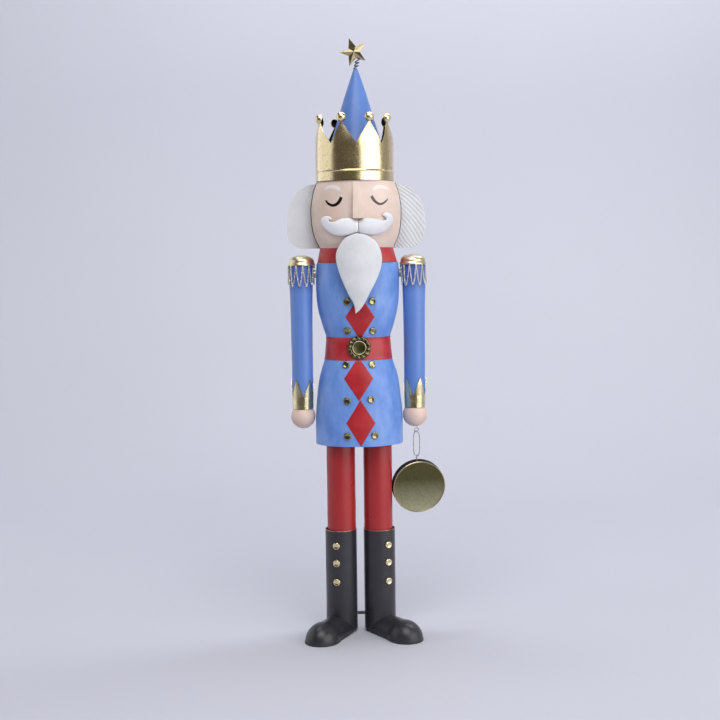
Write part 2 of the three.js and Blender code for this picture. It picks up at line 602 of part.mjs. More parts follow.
for (const [name, side] of sides) {
  add(`arm_${name}`, arm(side), BLUE);
  add(`cuff_${name}`, cuff(name, side), GOLD);
  add(`hand_${name}`, hand(side), SKIN);
  add(`epaulette_${name}`, epaulette(side), GOLD);
  add(`fringe_${name}`, fringe(side), GOLD);
  add(`shoulder_bolt_${name}`, shoulderBolt(side), STEEL);
}
add('screw_eye', screwEye(), STEEL);
add('drum_link', drumLink(), STEEL);
add('drum_shell', hung(drumShell()), GOLD);
add('drum_head', hung(drumHead()), GOLD);

// The origin is the middle of the bounding box's bottom face.
const bounds = new THREE.Box3().setFromObject(group);
const shift = new THREE.Vector3(
  -(bounds.min.x + bounds.max.x) / 2, -(bounds.min.y + bounds.max.y) / 2, -bounds.min.z);
for (const mesh of group.children) mesh.geometry.translate(shift.x, shift.y, shift.z);

export default group;
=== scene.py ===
"""Looks of the sheet-metal nutcracker king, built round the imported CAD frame.

Lengths are in millimetres until at() turns them into metres in the row frame. They are measured
from the figure's own upright axis on the floor; the figure faces -Y and its left side is +X.
"""
import math

import bmesh
import bpy
from mathutils import Matrix, Vector, noise


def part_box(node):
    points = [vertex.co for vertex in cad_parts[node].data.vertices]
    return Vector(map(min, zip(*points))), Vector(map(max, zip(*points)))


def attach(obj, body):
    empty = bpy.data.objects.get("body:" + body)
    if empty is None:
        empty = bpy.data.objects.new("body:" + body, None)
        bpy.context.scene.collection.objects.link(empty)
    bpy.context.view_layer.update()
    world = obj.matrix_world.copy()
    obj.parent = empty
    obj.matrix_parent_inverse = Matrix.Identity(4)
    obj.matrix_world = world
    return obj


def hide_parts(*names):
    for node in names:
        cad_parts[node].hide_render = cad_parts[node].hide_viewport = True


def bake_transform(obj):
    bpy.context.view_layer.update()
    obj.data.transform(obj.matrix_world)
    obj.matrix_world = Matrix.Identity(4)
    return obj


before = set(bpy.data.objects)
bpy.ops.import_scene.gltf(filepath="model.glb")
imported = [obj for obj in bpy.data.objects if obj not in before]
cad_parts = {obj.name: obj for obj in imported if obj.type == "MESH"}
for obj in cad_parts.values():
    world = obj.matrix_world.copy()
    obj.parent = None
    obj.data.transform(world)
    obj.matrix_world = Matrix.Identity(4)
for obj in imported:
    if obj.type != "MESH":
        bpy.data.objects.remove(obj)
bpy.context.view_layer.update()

MM = 0.001
SHEET = 1.0                    # sheet metal thickness
STAND_OFF = 0.3                # a piece laid on a surface floats this far above it
SIDES = (("left", 1), ("right", -1))


def middle(node):
    low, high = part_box(node)
    return (low + high) / 2


AXIS = Vector((middle("jacket").x, middle("jacket").y, 0))


def at(x, y, z):
    """Millimetres from the figure's axis to metres in the row frame."""
    return AXIS + Vector((x, y, z)) * MM


def local(node):
    """Middle of a CAD node, in millimetres from the figure's axis."""
    return (middle(node) - AXIS) / MM


# ---- camera, lights, floor
CAMERA_RANGE, CAMERA_HEIGHT, CAMERA_TURN = 2496, 782, math.radians(-2)
CAMERA_TILT, CAMERA_ROLL, LENS = math.radians(5.09), math.radians(-0.72), 61.75
CAMERA_SIDE = 3


def make_camera():
    data = bpy.data.cameras.new("camera")
    data.lens = LENS
    data.clip_start, data.clip_end = 0.05, 60
    cam = bpy.data.objects.new("camera", data)
    bpy.context.scene.collection.objects.link(cam)
    turn = Matrix.Rotation(CAMERA_TURN, 3, "Z")
    cam.location = AXIS + turn @ Vector((CAMERA_SIDE, -CAMERA_RANGE, CAMERA_HEIGHT)) * MM
    look = (turn @ Matrix.Rotation(math.pi / 2 - CAMERA_TILT, 3, "X")
            @ Matrix.Rotation(CAMERA_ROLL, 3, "Z"))
    cam.rotation_euler = look.to_euler()
    bpy.context.scene.camera = cam


def area_light(name, place, target, width, height, watts, color):
    data = bpy.data.lights.new(name, "AREA")
    data.shape, data.size, data.size_y = "RECTANGLE", width, height
    data.energy, data.color = watts, color
    lamp = bpy.data.objects.new(name, data)
    bpy.context.scene.collection.objects.link(lamp)
    lamp.location = place
    lamp.rotation_euler = (Vector(target) - Vector(place)).to_track_quat("-Z", "Y").to_euler()


def make_lights():
    area_light("key", (2.19, -2.05, 1.25), (0, 0, 0.85), 3.4, 2.6, 67, (1.0, 0.985, 0.965))
    area_light("fill", (-2.5, 0.7, 1.2), (0, 0, 0.8), 3.6, 2.6, 25, (0.97, 0.98, 1.0))
    area_light("side", (2.6, 0.7, 1.2), (0, 0, 0.9), 2.4, 2.4, 4, (1, 1, 1))
    area_light("top", (-0.12, -1.7, 2.9), (0, 0, 0.8), 2.4, 2.0, 53, (1, 1, 1))
    area_light("backdrop", (0.9, 0.9, 3.6), (0.7, 2.5, 0.9), 4.6, 0.8, 90, (0.98, 0.985, 1.0))
    world = bpy.data.worlds.new("studio")
    world.use_nodes = True
    background = world.node_tree.nodes["Background"]
    background.inputs["Color"].default_value = (0.50, 0.42, 0.31, 1)
    background.inputs["Strength"].default_value = 0.16
    bpy.context.scene.world = world
    bpy.context.scene.view_settings.view_transform = "Standard"


# ---- materials
def add_node(tree, kind, values=(), links=()):
    """Shader node with values set and sources linked, each as (socket name, ...) pairs."""
    node = tree.nodes.new("ShaderNode" + kind)
    for name, value in values:
        node.inputs[name].default_value = value
    for name, source in links:
        tree.links.new(source, node.inputs[name])
    return node


def new_material(name, color, roughness, metallic=0.0):
    """A node material, with its node tree and its shader."""
    material = bpy.data.materials.new(name)
    material.use_nodes = True
    tree = material.node_tree
    shader = tree.nodes["Principled BSDF"]
    shader.inputs["Base Color"].default_value = (*color, 1)
    shader.inputs["Roughness"].default_value = roughness
    shader.inputs["Metallic"].default_value = metallic
    return material, tree, shader


def object_place(tree):
    """The object's own coordinates, in metres."""
    return add_node(tree, "TexCoord").outputs["Object"]


def noise_node(tree, scale, detail=3.0, roughness=0.55, stretch=(1, 1, 1)):
    """Noise over the object's own coordinates, in features of about 1/scale metres."""
    mapping = add_node(tree, "Mapping", [("Scale", stretch)], [("Vector", object_place(tree))])
    values = (("Scale", scale), ("Detail", detail), ("Roughness", roughness))
    return add_node(tree, "TexNoise", values, [("Vector", mapping.outputs["Vector"])]).outputs["Fac"]


def ramp(tree, source, stops):
    """Colour ramp from (position, colour) stops."""
    node = add_node(tree, "ValToRGB", links=[("Fac", source)])
    elements = node.color_ramp.elements
    while len(elements) < len(stops):
        elements.new(0.5)
    for element, (position, color) in zip(elements, stops):
        element.position = position
        element.color = (*color, 1)
    return node.outputs["Color"]


def grey(value):
    return (value, value, value)


def bump(tree, shader, source, strength):
    node = add_node(tree, "Bump", [("Strength", strength), ("Distance", 0.4 * MM)], [("Height", source)])
    tree.links.new(node.outputs["Normal"], shader.inputs["Normal"])


def painted(name, tones, roughness, patch=22, grain=420, streak=(1, 1, 1)):
    """Brushed paint on sheet metal: soft cloudy patches of its tones, with a fine orange peel."""
    material, tree, shader = new_material(name, tones[-1], roughness)
    patches = noise_node(tree, patch, 5, 0.6, streak)
    stops = [(0.32 + 0.36 * i / (len(tones) - 1), tone) for i, tone in enumerate(tones)]
    tree.links.new(ramp(tree, patches, stops), shader.inputs["Base Color"])
    rough = noise_node(tree, patch * 2.3, 4)
    tree.links.new(ramp(tree, rough, [(0.3, grey(roughness - 0.06)), (0.7, grey(roughness + 0.1))]),
                   shader.inputs["Roughness"])
    bump(tree, shader, noise_node(tree, grain, 2), 0.25)
    return material


def leafed(name, dark, light, roughness, patch=60, wear=0.5):
    """Metal leaf under lacquer: bright metal with dull brown rubs, finely pitted."""
    material, tree, shader = new_material(name, light, roughness, 1.0)
    shader.inputs["Coat Weight"].default_value = 0.2
    shader.inputs["Coat Roughness"].default_value = 0.12
    rubs = noise_node(tree, patch, 8, 0.72)
    tree.links.new(ramp(tree, rubs, [(wear - 0.2, dark), (wear + 0.04, light)]),
                   shader.inputs["Base Color"])
    dull, bright = (wear - 0.2, grey(roughness + 0.14)), (wear + 0.1, grey(roughness))
    tree.links.new(ramp(tree, rubs, [dull, bright]), shader.inputs["Roughness"])
    bump(tree, shader, noise_node(tree, patch * 3.5, 6, 0.7), 0.2)
    return material


def blend_base(material, amount, color, mode):
    """Mixes a colour into a material's base colour, by the amount that a socket gives."""
    tree = material.node_tree
    base = tree.nodes["Principled BSDF"].inputs["Base Color"]
    mix = add_node(tree, "MixRGB", [("Color2", (*color, 1))],
                   [("Fac", amount), ("Color1", base.links[0].from_socket)])
    mix.blend_type = mode
    tree.links.new(mix.outputs["Color"], base)


def add_glow(material, place, radius, color, strength):
    """Airbrushed spot round a place (metres, row frame) that fades out over its radius."""
    tree = material.node_tree
    values = (("Scale", (1 / radius,) * 3), ("Location", [-c / radius for c in place]))
    mapping = add_node(tree, "Mapping", values, [("Vector", object_place(tree))])
    spot = add_node(tree, "TexGradient", links=[("Vector", mapping.outputs["Vector"])])
    spot.gradient_type = "SPHERICAL"
    amount = ramp(tree, spot.outputs["Fac"], [(0.0, grey(0)), (0.8, grey(strength))])
    blend_base(material, amount, color, "MIX")


def shade_by_height(material, low, high, tint):
    """Tint that deepens from nothing at one height to its full strength at another (metres)."""
    tree = material.node_tree
    split = add_node(tree, "SeparateXYZ", links=[("Vector", object_place(tree))])
    share = add_node(tree, "MapRange", [("From Min", low), ("From Max", high)],
                     [("Value", split.outputs["Z"])])
    blend_base(material, share.outputs["Result"], tint, "MULTIPLY")


def matte(material):
    """Takes most of the sheen off a paint."""
    material.node_tree.nodes["Principled BSDF"].inputs["Specular IOR Level"].default_value = 0.1
    return material


def by_side(name, roughness, patch, **tones):
    """A paint of its own for each side."""
    return {side: painted(f"{name}_{side}", tones[side], roughness, patch) for side in tones}


BLUE = painted("blue_coat_paint", [(0.11, 0.25, 0.68), (0.158, 0.31, 0.75), (0.225, 0.375, 0.79)],
               0.42, 34, streak=(1, 1, 0.5))
BLUE_SMOOTH = painted("blue_tube_paint", [(0.105, 0.225, 0.61), (0.14, 0.27, 0.67)], 0.34, 14,
                      streak=(1, 1, 0.25))
HAT_BLUE = painted("blue_hat_paint", [(0.085, 0.19, 0.53), (0.118, 0.235, 0.61)], 0.4, 20)
RED = painted("red_leg_paint", [(0.33, 0.014, 0.018), (0.42, 0.028, 0.032)], 0.32, 12,
              streak=(1, 1, 0.25))
BELT_RED = painted("red_belt_paint", [(0.40, 0.018, 0.028), (0.52, 0.050, 0.062)], 0.38, 24)
DIAMOND_RED = painted("red_diamond_paint", [(0.36, 0.008, 0.014), (0.48, 0.020, 0.030)], 0.36, 40)
SKIN = painted("skin_paint", [(0.68, 0.50, 0.43), (0.79, 0.63, 0.56)], 0.45, 18)
FACE_SKIN = painted("face_paint", [(0.70, 0.545, 0.475), (0.815, 0.68, 0.62)], 0.45, 16)
WHITE = painted("white_beard_paint", [(0.65, 0.67, 0.72), (0.74, 0.76, 0.81)], 0.5, 30, 260)
BLACK = painted("black_boot_paint", [(0.021, 0.021, 0.027), (0.031, 0.031, 0.040)], 0.33, 12)
# Painted light and shade: one white paint in two copies, the moustache's right half painted lighter and
# its left half darker.
MOUSTACHE_LIT_AND_SHADED_PAINT = by_side("moustache_paint", 0.5, 30, right=[(0.87, 0.90, 0.97), (0.92, 0.94, 0.99)],
                          left=[(0.70, 0.72, 0.78), (0.77, 0.79, 0.85)])
# Painted light and shade: one white paint in two copies, the right hair plate painted lighter and the
# left darker.
HAIR_LIT_AND_SHADED_PAINT = by_side("hair_lit_and_shaded_paint", 0.45, 30, right=[(0.67, 0.69, 0.74), (0.75, 0.77, 0.82)],
                     left=[(0.59, 0.62, 0.67), (0.67, 0.70, 0.75)])
BROWS_PAINT = by_side("brow_paint", 0.5, 60, right=[(0.78, 0.72, 0.70), (0.84, 0.80, 0.79)],
                      left=[(0.80, 0.72, 0.68), (0.85, 0.78, 0.74)])
# The left eye's grey is a painted reflection on the black gloss paint; the right eye has the black paint
# alone, made matte.
EYES_PAINT_AND_REFLECTION = {
    "right": matte(painted("eye_paint_right", [(0.008, 0.006, 0.006), (0.014, 0.012, 0.012)], 0.5, 60)),
    "left": painted("eye_paint_left_painted_reflection", [(0.05, 0.04, 0.045), (0.12, 0.10, 0.11)], 0.4, 60),
}
# Near-black for the insides and cut edges of the sheets; on the drum's side wall and down the head's
# seams it is painted shade.
INSIDE_AND_SHADE = matte(painted("dark_inside_and_shade", [(0.010, 0.009, 0.011), (0.018, 0.016, 0.020)], 0.7, 40))
GOLD = leafed("gold_leaf", (0.44, 0.32, 0.14), (0.86, 0.73, 0.46), 0.22, 170, 0.44)
GOLD_CUFF = leafed("gold_cuff", (0.34, 0.28, 0.12), (0.76, 0.68, 0.43), 0.2, 90, 0.42)
GOLD_SATIN = leafed("gold_satin", (0.42, 0.34, 0.17), (0.80, 0.71, 0.47), 0.31, 90, 0.42)
# Gold darkened as painted shade, for the star and the drum's lips.
GOLD_SHADED = leafed("gold_shaded", (0.24, 0.18, 0.08), (0.52, 0.44, 0.27), 0.2, 90, 0.42)
GOLD_SMOOTH = leafed("gold_trim", (0.42, 0.31, 0.14), (0.86, 0.72, 0.43), 0.17, 90, 0.42)
GOLD_DARK = leafed("gold_stud", (0.10, 0.085, 0.04), (0.36, 0.33, 0.18), 0.16, 130, 0.48)
ROPE_GOLD = leafed("gold_rope", (0.02, 0.02, 0.01), (0.19, 0.175, 0.085), 0.12, 260, 0.56)
DRUM_GOLD = leafed("drum_leaf", (0.34, 0.32, 0.185), (0.46, 0.45, 0.28), 0.34, 200, 0.5)
CHAIN = leafed("chain_metal", (0.06, 0.065, 0.04), (0.95, 0.94, 0.88), 0.14, 330, 0.47)
WIRE = leafed("steel_wire", (0.22, 0.22, 0.23), (0.46, 0.46, 0.48), 0.3, 150)
BRONZE = leafed("bronze_rim", (0.20, 0.12, 0.06), (0.50, 0.34, 0.22), 0.3, 120)
SPRING_BLUE = painted("spring_paint", [(0.012, 0.014, 0.07), (0.03, 0.034, 0.15)], 0.3, 90)


# ---- mesh helpers
def spread(low, high, steps):
    """steps + 1 numbers at equal distances from low to high."""
    return [low + (high - low) * i / steps for i in range(steps + 1)]


def full_turn(count):
    """Angles of count equal steps once round."""
    return [math.tau * k / count for k in range(count)]


def spline(points, steps):
    """Smooth curve through the points, as steps + 1 evenly parametrised vectors."""
    points = [Vector(p) for p in points]
    ends = [points[0] * 2 - points[1], *points, points[-1] * 2 - points[-2]]
    out = []
    for t in spread(0, len(points) - 1, steps):
        k = min(int(t), len(points) - 2)
        t -= k
        a, b, c, d = ends[k:k + 4]
        out.append(0.5 * (2 * b + (c - a) * t + (2 * a - 5 * b + 4 * c - d) * t * t
                          + (3 * b - a - 3 * c + d) * t ** 3))
    return out


def even(points, count):
    """The same path as count + 1 points at equal distances along it."""
    lengths = [0.0]
    for a, b in zip(points, points[1:]):
        lengths.append(lengths[-1] + (b - a).length)
    out, k = [], 0
    for want in spread(0, lengths[-1], count):
        while k < len(points) - 2 and lengths[k + 1] < want:
            k += 1
        span = lengths[k + 1] - lengths[k]
        out.append(points[k].lerp(points[k + 1], (want - lengths[k]) / span if span else 0))
    return out


def profile_at(rows, z, column=1):
    """Smooth interpolation in rows of (height, value, ...)."""
    if z <= rows[0][0]:
        return rows[0][column]
    if z >= rows[-1][0]:
        return rows[-1][column]
    k = next(i for i in range(1, len(rows)) if z <= rows[i][0])
    before, low, high, after = (rows[min(max(i, 0), len(rows) - 1)] for i in range(k - 2, k + 2))
    span = high[0] - low[0]
    t = (z - low[0]) / span
    slope_low = (high[column] - before[column]) / (high[0] - before[0]) * span
    slope_high = (after[column] - low[column]) / (after[0] - low[0]) * span
    return ((2 * t ** 3 - 3 * t * t + 1) * low[column] + (t ** 3 - 2 * t * t + t) * slope_low
            + (3 * t * t - 2 * t ** 3) * high[column] + (t ** 3 - t * t) * slope_high)


def mesh_object(name, bm, *materials):
    """Turns a bmesh into a smooth-shaded object in the scene."""
    mesh = bpy.data.meshes.new(name)
    bm.to_mesh(mesh)
    bm.free()
    for material in materials:
        mesh.materials.append(material)
    mesh.shade_smooth()
    thing = bpy.data.objects.new(name, mesh)
    bpy.context.scene.collection.objects.link(thing)
    return thing


def finish_piece(name, bm, material, node=None, sharp=40, extra=(), body="figure"):
    """Turns a bmesh into a named piece that stands for a CAD node and rides on a body, if given."""
    bmesh.ops.remove_doubles(bm, verts=bm.verts, dist=2e-6)
    bmesh.ops.delete(bm, geom=[v for v in bm.verts if not v.link_faces], context="VERTS")
    bmesh.ops.recalc_face_normals(bm, faces=bm.faces)
    piece = mesh_object(name, bm, material, *extra)
    piece.data.set_sharp_from_angle(angle=math.radians(sharp))
    if body:
        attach(piece, body)
    if node:
        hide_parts(node)
    return piece


def add_grid(bm, rows, around=False, material=0):
    """Quads between rows of points; around closes each row on itself.

    material is the index that all the quads take, or a list with one index per strip.
    """
    grid = [[bm.verts.new(p) for p in row] for row in rows]
    count = len(grid[0])
    for k, (a, b) in enumerate(zip(grid, grid[1:])):
        for i in range(count if around else count - 1):
            j = (i + 1) % count
            face = bm.faces.new((a[i], a[j], b[j], b[i]))
            face.material_index = material if isinstance(material, int) else material[k]
    return grid


def add_rims(bm, front, back, material=0):
    """Strips that join the four edges of two grids of points."""
    for edge in (lambda g: g[0], lambda g: g[-1], lambda g: [r[0] for r in g],
                 lambda g: [r[-1] for r in g]):
        add_grid(bm, [edge(front), edge(back)], material=material)


def add_sheet(bm, rows):
    """Thin closed sheet from rows of (front, back) pairs of points."""
    front, back = ([[pair[k] for pair in row] for row in rows] for k in (0, 1))
    add_grid(bm, front)
    add_grid(bm, back)
    add_rims(bm, front, back)


def ring(radius_x, radius_y, z, count, x=0):
    """Level ellipse round x that starts at the front."""
    return [at(x + radius_x * math.sin(a), -radius_y * math.cos(a), z)
            for a in full_turn(count)]


def circle(centre, side, up, radius, count):
    """Circle round centre (metres) in the plane of two unit vectors."""
    return [centre + (side * math.cos(a) + up * math.sin(a)) * radius * MM
            for a in full_turn(count)]


def add_lathe(bm, profile, count, x=0, material=0):
    """Turned shape about an upright line at x; profile holds (radius, height)."""
    rows = [ring(max(r, 1e-4), max(r, 1e-4), z, count, x) for r, z in profile]
    add_grid(bm, rows, True, material)


def round_path(points, bend, steps):
    """Rounds the inner corners of a (radius, height) profile."""
    out = [points[0]]
    for a, b, c in zip(points, points[1:], points[2:]):
        a, b, c = Vector(a), Vector(b), Vector(c)
        cut = min(bend, (a - b).length * 0.45, (c - b).length * 0.45)
        p, q = b + (a - b).normalized() * cut, b + (c - b).normalized() * cut
        for i in range(steps + 1):
            t = i / steps
            out.append(tuple(p.lerp(b, t).lerp(b.lerp(q, t), t)))
    out.append(points[-1])
    return out


def add_tube(bm, path, radius, sides=8, closed=False, material=0):
    """Round bar along a path of points in metres; open ends are capped."""
    count = len(path)
    rows = []
    side = None
    for i, p in enumerate(path):
        before = path[i - 1] if i or closed else path[0]
        after = path[(i + 1) % count] if i < count - 1 or closed else path[-1]
        along = (after - before).normalized()
        if side is None:
            side = along.orthogonal().normalized()
        side = (side - along * side.dot(along)).normalized()
        rows.append(circle(p, side, along.cross(side), radius, sides))
    if closed:
        shift = min(range(sides), key=lambda k: (rows[0][k] - rows[-1][0]).length)
        rows.append(rows[0][shift:] + rows[0][:shift])
    grid = add_grid(bm, rows, True, material)
    if not closed:
        for end in (grid[0], grid[-1]):
            bm.faces.new(end).material_index = material


def dent(bm, amount, size, seed=0.0):
    """Slight unevenness of hand-worked sheet: moves the points along their normals."""
    bm.normal_update()
    for v in bm.verts:
        v.co += v.normal * (noise.noise(v.co / (size * MM) + Vector((seed, seed, seed))) * amount * MM)


# ---- coat
HEM_Z, WAIST_Z, SHOULDER_Z = 391, 586, 757
BELT_LOW, BELT_HIGH = 563, 608.5
COAT_DEPTH = 0.7
COAT_PROFILE = (
    (HEM_Z, 88.4), (411, 88.4), (456, 87.8), (493, 84.3), (524, 80), (545, 74.4), (562, 68.6),
    (574, 65.3), (WAIST_Z, 63.9), (600, 63.4), (609, 64.5), (618, 67.6), (628, 70.9), (647, 76.1),
    (662, 79.8), (680, 82.3), (700, 83.5), (720, 83.9), (740, 83.2), (SHOULDER_Z, 82),
)
COAT_SIDES = 160


def coat_width(z):
    return profile_at(COAT_PROFILE, z)


def coat_front(x, z, out=0.0):
    """y of the coat's front at x, z, standing out by so many millimetres."""
    w = coat_width(z)
    return -(w * COAT_DEPTH + out) * math.sqrt(max(0.0, 1 - (x / (w + out)) ** 2))


def coat_ring(z, out=0.0):
    w = coat_width(z)
    return ring(w + out, w * COAT_DEPTH + out, z, COAT_SIDES)


def coat_shell(name, low, high, node, closed_top=False):
    """Sheet skin with a rolled bottom edge, an inner side and, at the shoulders, a lid."""
    heights = spread(low, high, round((high - low) / 4))
    bm = bmesh.new()
    rows = [coat_ring(low + 0.2, -SHEET), coat_ring(low, -0.5 * SHEET), coat_ring(low + 0.4, 0)]
    rows += [coat_ring(z) for z in heights[1:-1]]
    rows += [coat_ring(high - 0.8, 0), coat_ring(high, -1.0)]
    if closed_top:
        rows += [ring(coat_width(high) * f, coat_width(high) * COAT_DEPTH * f, high, COAT_SIDES)
                 for f in (0.9, 0.5, 0.001)]
    add_grid(bm, rows, True)
    dent(bm, 0.7, 38, 3.0)
    add_grid(bm, [coat_ring(z, -SHEET) for z in [low + 0.2, *heights[1:-1], high - 2]], True, 1)
    finish_piece(name, bm, BLUE, node, extra=[INSIDE_AND_SHADE])


def make_belt():
    bm = bmesh.new()
    low, high = BELT_LOW + 0.1, BELT_HIGH - 0.1
    inner, outer = STAND_OFF, STAND_OFF + SHEET
    rows = [coat_ring(low, inner), coat_ring(low, outer - 0.3), coat_ring(low + 0.3, outer)]
    rows += [coat_ring(z, outer) for z in spread(low, high, 24)[1:-1]]
    rows += [coat_ring(high - 0.3, outer), coat_ring(high, outer - 0.3), coat_ring(high, inner)]
    add_grid(bm, rows + [rows[0]], True)
    dent(bm, 0.25, 22, 9.0)
    finish_piece("belt_band", bm, BELT_RED, "belt")


DIAMOND_W = 29
DIAMONDS = (                   # name, middle x and z, half height, lowest and highest point kept
    ("diamond_chest", 2.4, 649.5, 44.5, BELT_HIGH + 0.6, 760),
    ("diamond_upper", -1.8, 527, 43.5, 380, BELT_LOW - 0.4),
    ("diamond_lower", 1.0, 438.5, 46.5, 380, 760),
)


def make_diamond(name, cx, cz, half_height, low, high):
    """Thin lozenge bent to the coat, with a slightly raised, rounded edge."""
    bottom, top = max(cz - half_height, low), min(cz + half_height, high)
    rows = []
    for z in spread(bottom, top, 40):
        half = DIAMOND_W * (1 - abs(z - cz) / half_height) + 0.05
        row = []
        for u in spread(-1, 1, 28):
            x = cx + half * math.copysign(abs(u) ** 0.8, u)
            inside = min(half - abs(x - cx), z - bottom if bottom > cz - half_height else 9,
                         top - z if top < cz + half_height else 9)
            lift = STAND_OFF + 0.4 + 0.7 * (1 - (1 - min(inside / 1.2, 1)) ** 2)
            row.append((at(x, coat_front(x, z, lift), z), at(x, coat_front(x, z, STAND_OFF), z)))
        rows.append(row)
    bm = bmesh.new()
    add_sheet(bm, rows)
    finish_piece(f"{name}_plate", bm, DIAMOND_RED, name)


STUD_PROFILE = ((7.6, 0), (7.6, 1.0), (7.3, 1.9), (6.7, 2.6), (5.9, 2.9), (5.1, 2.75), (4.2, 2.4),
                (3.0, 2.15), (1.5, 2.05), (0.02, 2.0))


def add_stud(bm, place, normal, scale):
    """Low dome in a flat flange, standing on place along normal."""
    normal = normal.normalized()
    side = normal.orthogonal().normalized()
    rows = [circle(place + normal * h * MM, side, normal.cross(side), r * scale, 28)
            for r, h in STUD_PROFILE]
    grid = add_grid(bm, rows, True)
    bm.faces.new(grid[0])


COAT_BUTTONS = {               # (height, distance from the middle), from the top down
    "left": ((681, 26.6), (621.6, 27.6), (554.4, 25.2), (485.5, 22.0), (413.5, 28.4)),
    "right": ((681, 22.6), (622.2, 23.2), (554.4, 26.2), (483.2, 25.4), (412.8, 25.8)),
}


def make_coat_buttons():
    for side, sign in SIDES:
        for i, (z, x) in enumerate(COAT_BUTTONS[side], 1):
            w = coat_width(z)
            slope = (coat_width(z + 5) - coat_width(z - 5)) / 10 * COAT_DEPTH
            y = coat_front(x, z)
            normal = Vector((sign * x / w ** 2, y / (w * COAT_DEPTH) ** 2, 0)).normalized()
            normal.z = -slope
            bm = bmesh.new()
            add_stud(bm, at(sign * x, y, z) + normal.normalized() * 0.9 * MM, normal, 0.98)
            finish_piece(f"coat_stud_{side}_{i}", bm, GOLD_DARK,
                         f"coat_button_{side}_{i}")


BUCKLE_Z, BUCKLE_R, SCALLOPS = 588.5, 23.6, 13
DISH_R, RING_R, ROPE_R = 12.2, 13.2, 14.6          # from the middle outwards


def buckle_height(r, a):
    """Relief of the rosette: twisted rope rim, a thin raised ring and a dished middle."""
    if r > ROPE_R:
        t = (r - ROPE_R) / (BUCKLE_R - ROPE_R)
        twist = 0.5 + 0.5 * math.cos(a * SCALLOPS + 2.2 * t)
        return 1.2 + 3.1 * math.sqrt(max(0.0, 1 - (2 * t - 1) ** 2)) * (0.5 + 0.5 * twist ** 0.6)
    if r > DISH_R:
        return 3.0 + 1.3 * math.cos(math.pi / 2 * (r - RING_R) / 1.3)
    return 2.9 - 1.7 * (1 - (r / DISH_R) ** 2)


def make_buckle():
    back = -(coat_width(BELT_LOW) * COAT_DEPTH + STAND_OFF + SHEET) - 0.4
    radii = [0.02, 2, 4, 6, 8, 10, 11.2, DISH_R, 12.6, RING_R, 13.8, 14.4]
    radii += spread(ROPE_R + 0.1, BUCKLE_R, 12)
    rows = []
    for r in radii:
        row = []
        for a in full_turn(SCALLOPS * 14):
            lobe = 0.5 + 0.5 * math.cos(a * SCALLOPS + 2.2)
            edge = r * (1 - 0.07 * (1 - lobe ** 0.6) * max(0, (r - 14) / 10))
            row.append(at(edge * math.sin(a), back - buckle_height(r, a), BUCKLE_Z + edge * math.cos(a)))
        rows.append(row)
    rows.append([Vector((p.x, AXIS.y + back * MM, p.z)) for p in rows[-1]])
    dish, raised = [1] * 7, [2] * 3
    rope = [0] * (len(rows) - 1 - len(dish) - len(raised))
    bm = bmesh.new()
    grid = add_grid(bm, rows, True, dish + raised + rope)
    bm.faces.new(grid[0]).material_index = 1
    bm.faces.new(grid[-1])
    finish_piece("buckle_rosette", bm, ROPE_GOLD, "buckle", 60, [DRUM_GOLD, GOLD_SATIN])


# ---- legs and feet
BOOT_TOP, BOOT_R, LEG_R, HIP_Z = 214, 32.1, 29.1, 396.6
SHOE_REACH, BALL_HALF_W, BALL_HALF_L, BALL_HEIGHT = 83, 34.5, 39, 39
INSTEP_HALF_W, INSTEP_HEIGHT, HEEL_RISE = 31.2, 37, 5
SHOE_SPLAY = {"left": 34, "right": 29.5}
BOOT_BUTTON_Z, BOOT_BUTTON_TURN = (184, 148, 109), {"left": 30, "right": 18}


def make_leg(side):
    wall = [(LEG_R, z) for z in spread(BOOT_TOP - 60, HIP_Z, 40)]
    bm = bmesh.new()
    add_lathe(bm, [(LEG_R - SHEET, BOOT_TOP - 60), *wall, (LEG_R - SHEET, HIP_Z)], 72,
              local(f"leg_{side}").x)
    dent(bm, 0.25, 30, 5.0)
    finish_piece(f"leg_tube_{side}", bm, RED, f"leg_{side}")


def make_boot(side):
    x = local(f"boot_tube_{side}").x
    bm = bmesh.new()
    outer = [(0.01, HEEL_RISE), (BOOT_R - 1.2, HEEL_RISE), (BOOT_R, HEEL_RISE + 0.8)]
    outer += [(BOOT_R, z) for z in spread(HEEL_RISE, BOOT_TOP, 40)[1:-1]]
    outer += [(BOOT_R, BOOT_TOP - 1.2)]
    add_lathe(bm, outer, 80, x)
    dent(bm, 0.2, 30, 8.0)
    rim = [(BOOT_R, BOOT_TOP - 1.2), (BOOT_R + 0.25, BOOT_TOP - 0.6), (BOOT_R, BOOT_TOP - 0.05),
           (BOOT_R - SHEET, BOOT_TOP - 0.05), (BOOT_R - SHEET, BOOT_TOP - 1.5)]
    add_lathe(bm, rim, 80, x, 1)
    add_lathe(bm, [(BOOT_R - SHEET, BOOT_TOP - 1.5), (BOOT_R - SHEET, BOOT_TOP - 50)], 80, x, 2)
    finish_piece(f"boot_shaft_{side}", bm, BLACK, f"boot_tube_{side}",
                 extra=[BRONZE, INSIDE_AND_SHADE])


def smooth_max(a, b, soft):
    return (a + b + math.sqrt((a - b) ** 2 + soft * soft)) / 2


def shoe_section(s):
    """Half width and height of the shoe at s millimetres in front of the boot's axis."""
    ball = math.sqrt(max(0.0, 1 - ((s - SHOE_REACH) / BALL_HALF_L) ** 2))
    if s >= SHOE_REACH:
        return BALL_HALF_W * ball, BALL_HEIGHT * ball
    return (smooth_max(INSTEP_HALF_W, BALL_HALF_W * ball, 1.2) - 0.1,
            smooth_max(INSTEP_HEIGHT, BALL_HEIGHT * ball, 0.8) - 0.1)


def sole_lift(s):
    """Height of the sole's edge over the floor: it rises gently towards the boot."""
    return HEEL_RISE * max(0.0, 1 - s / 60) ** 1.5


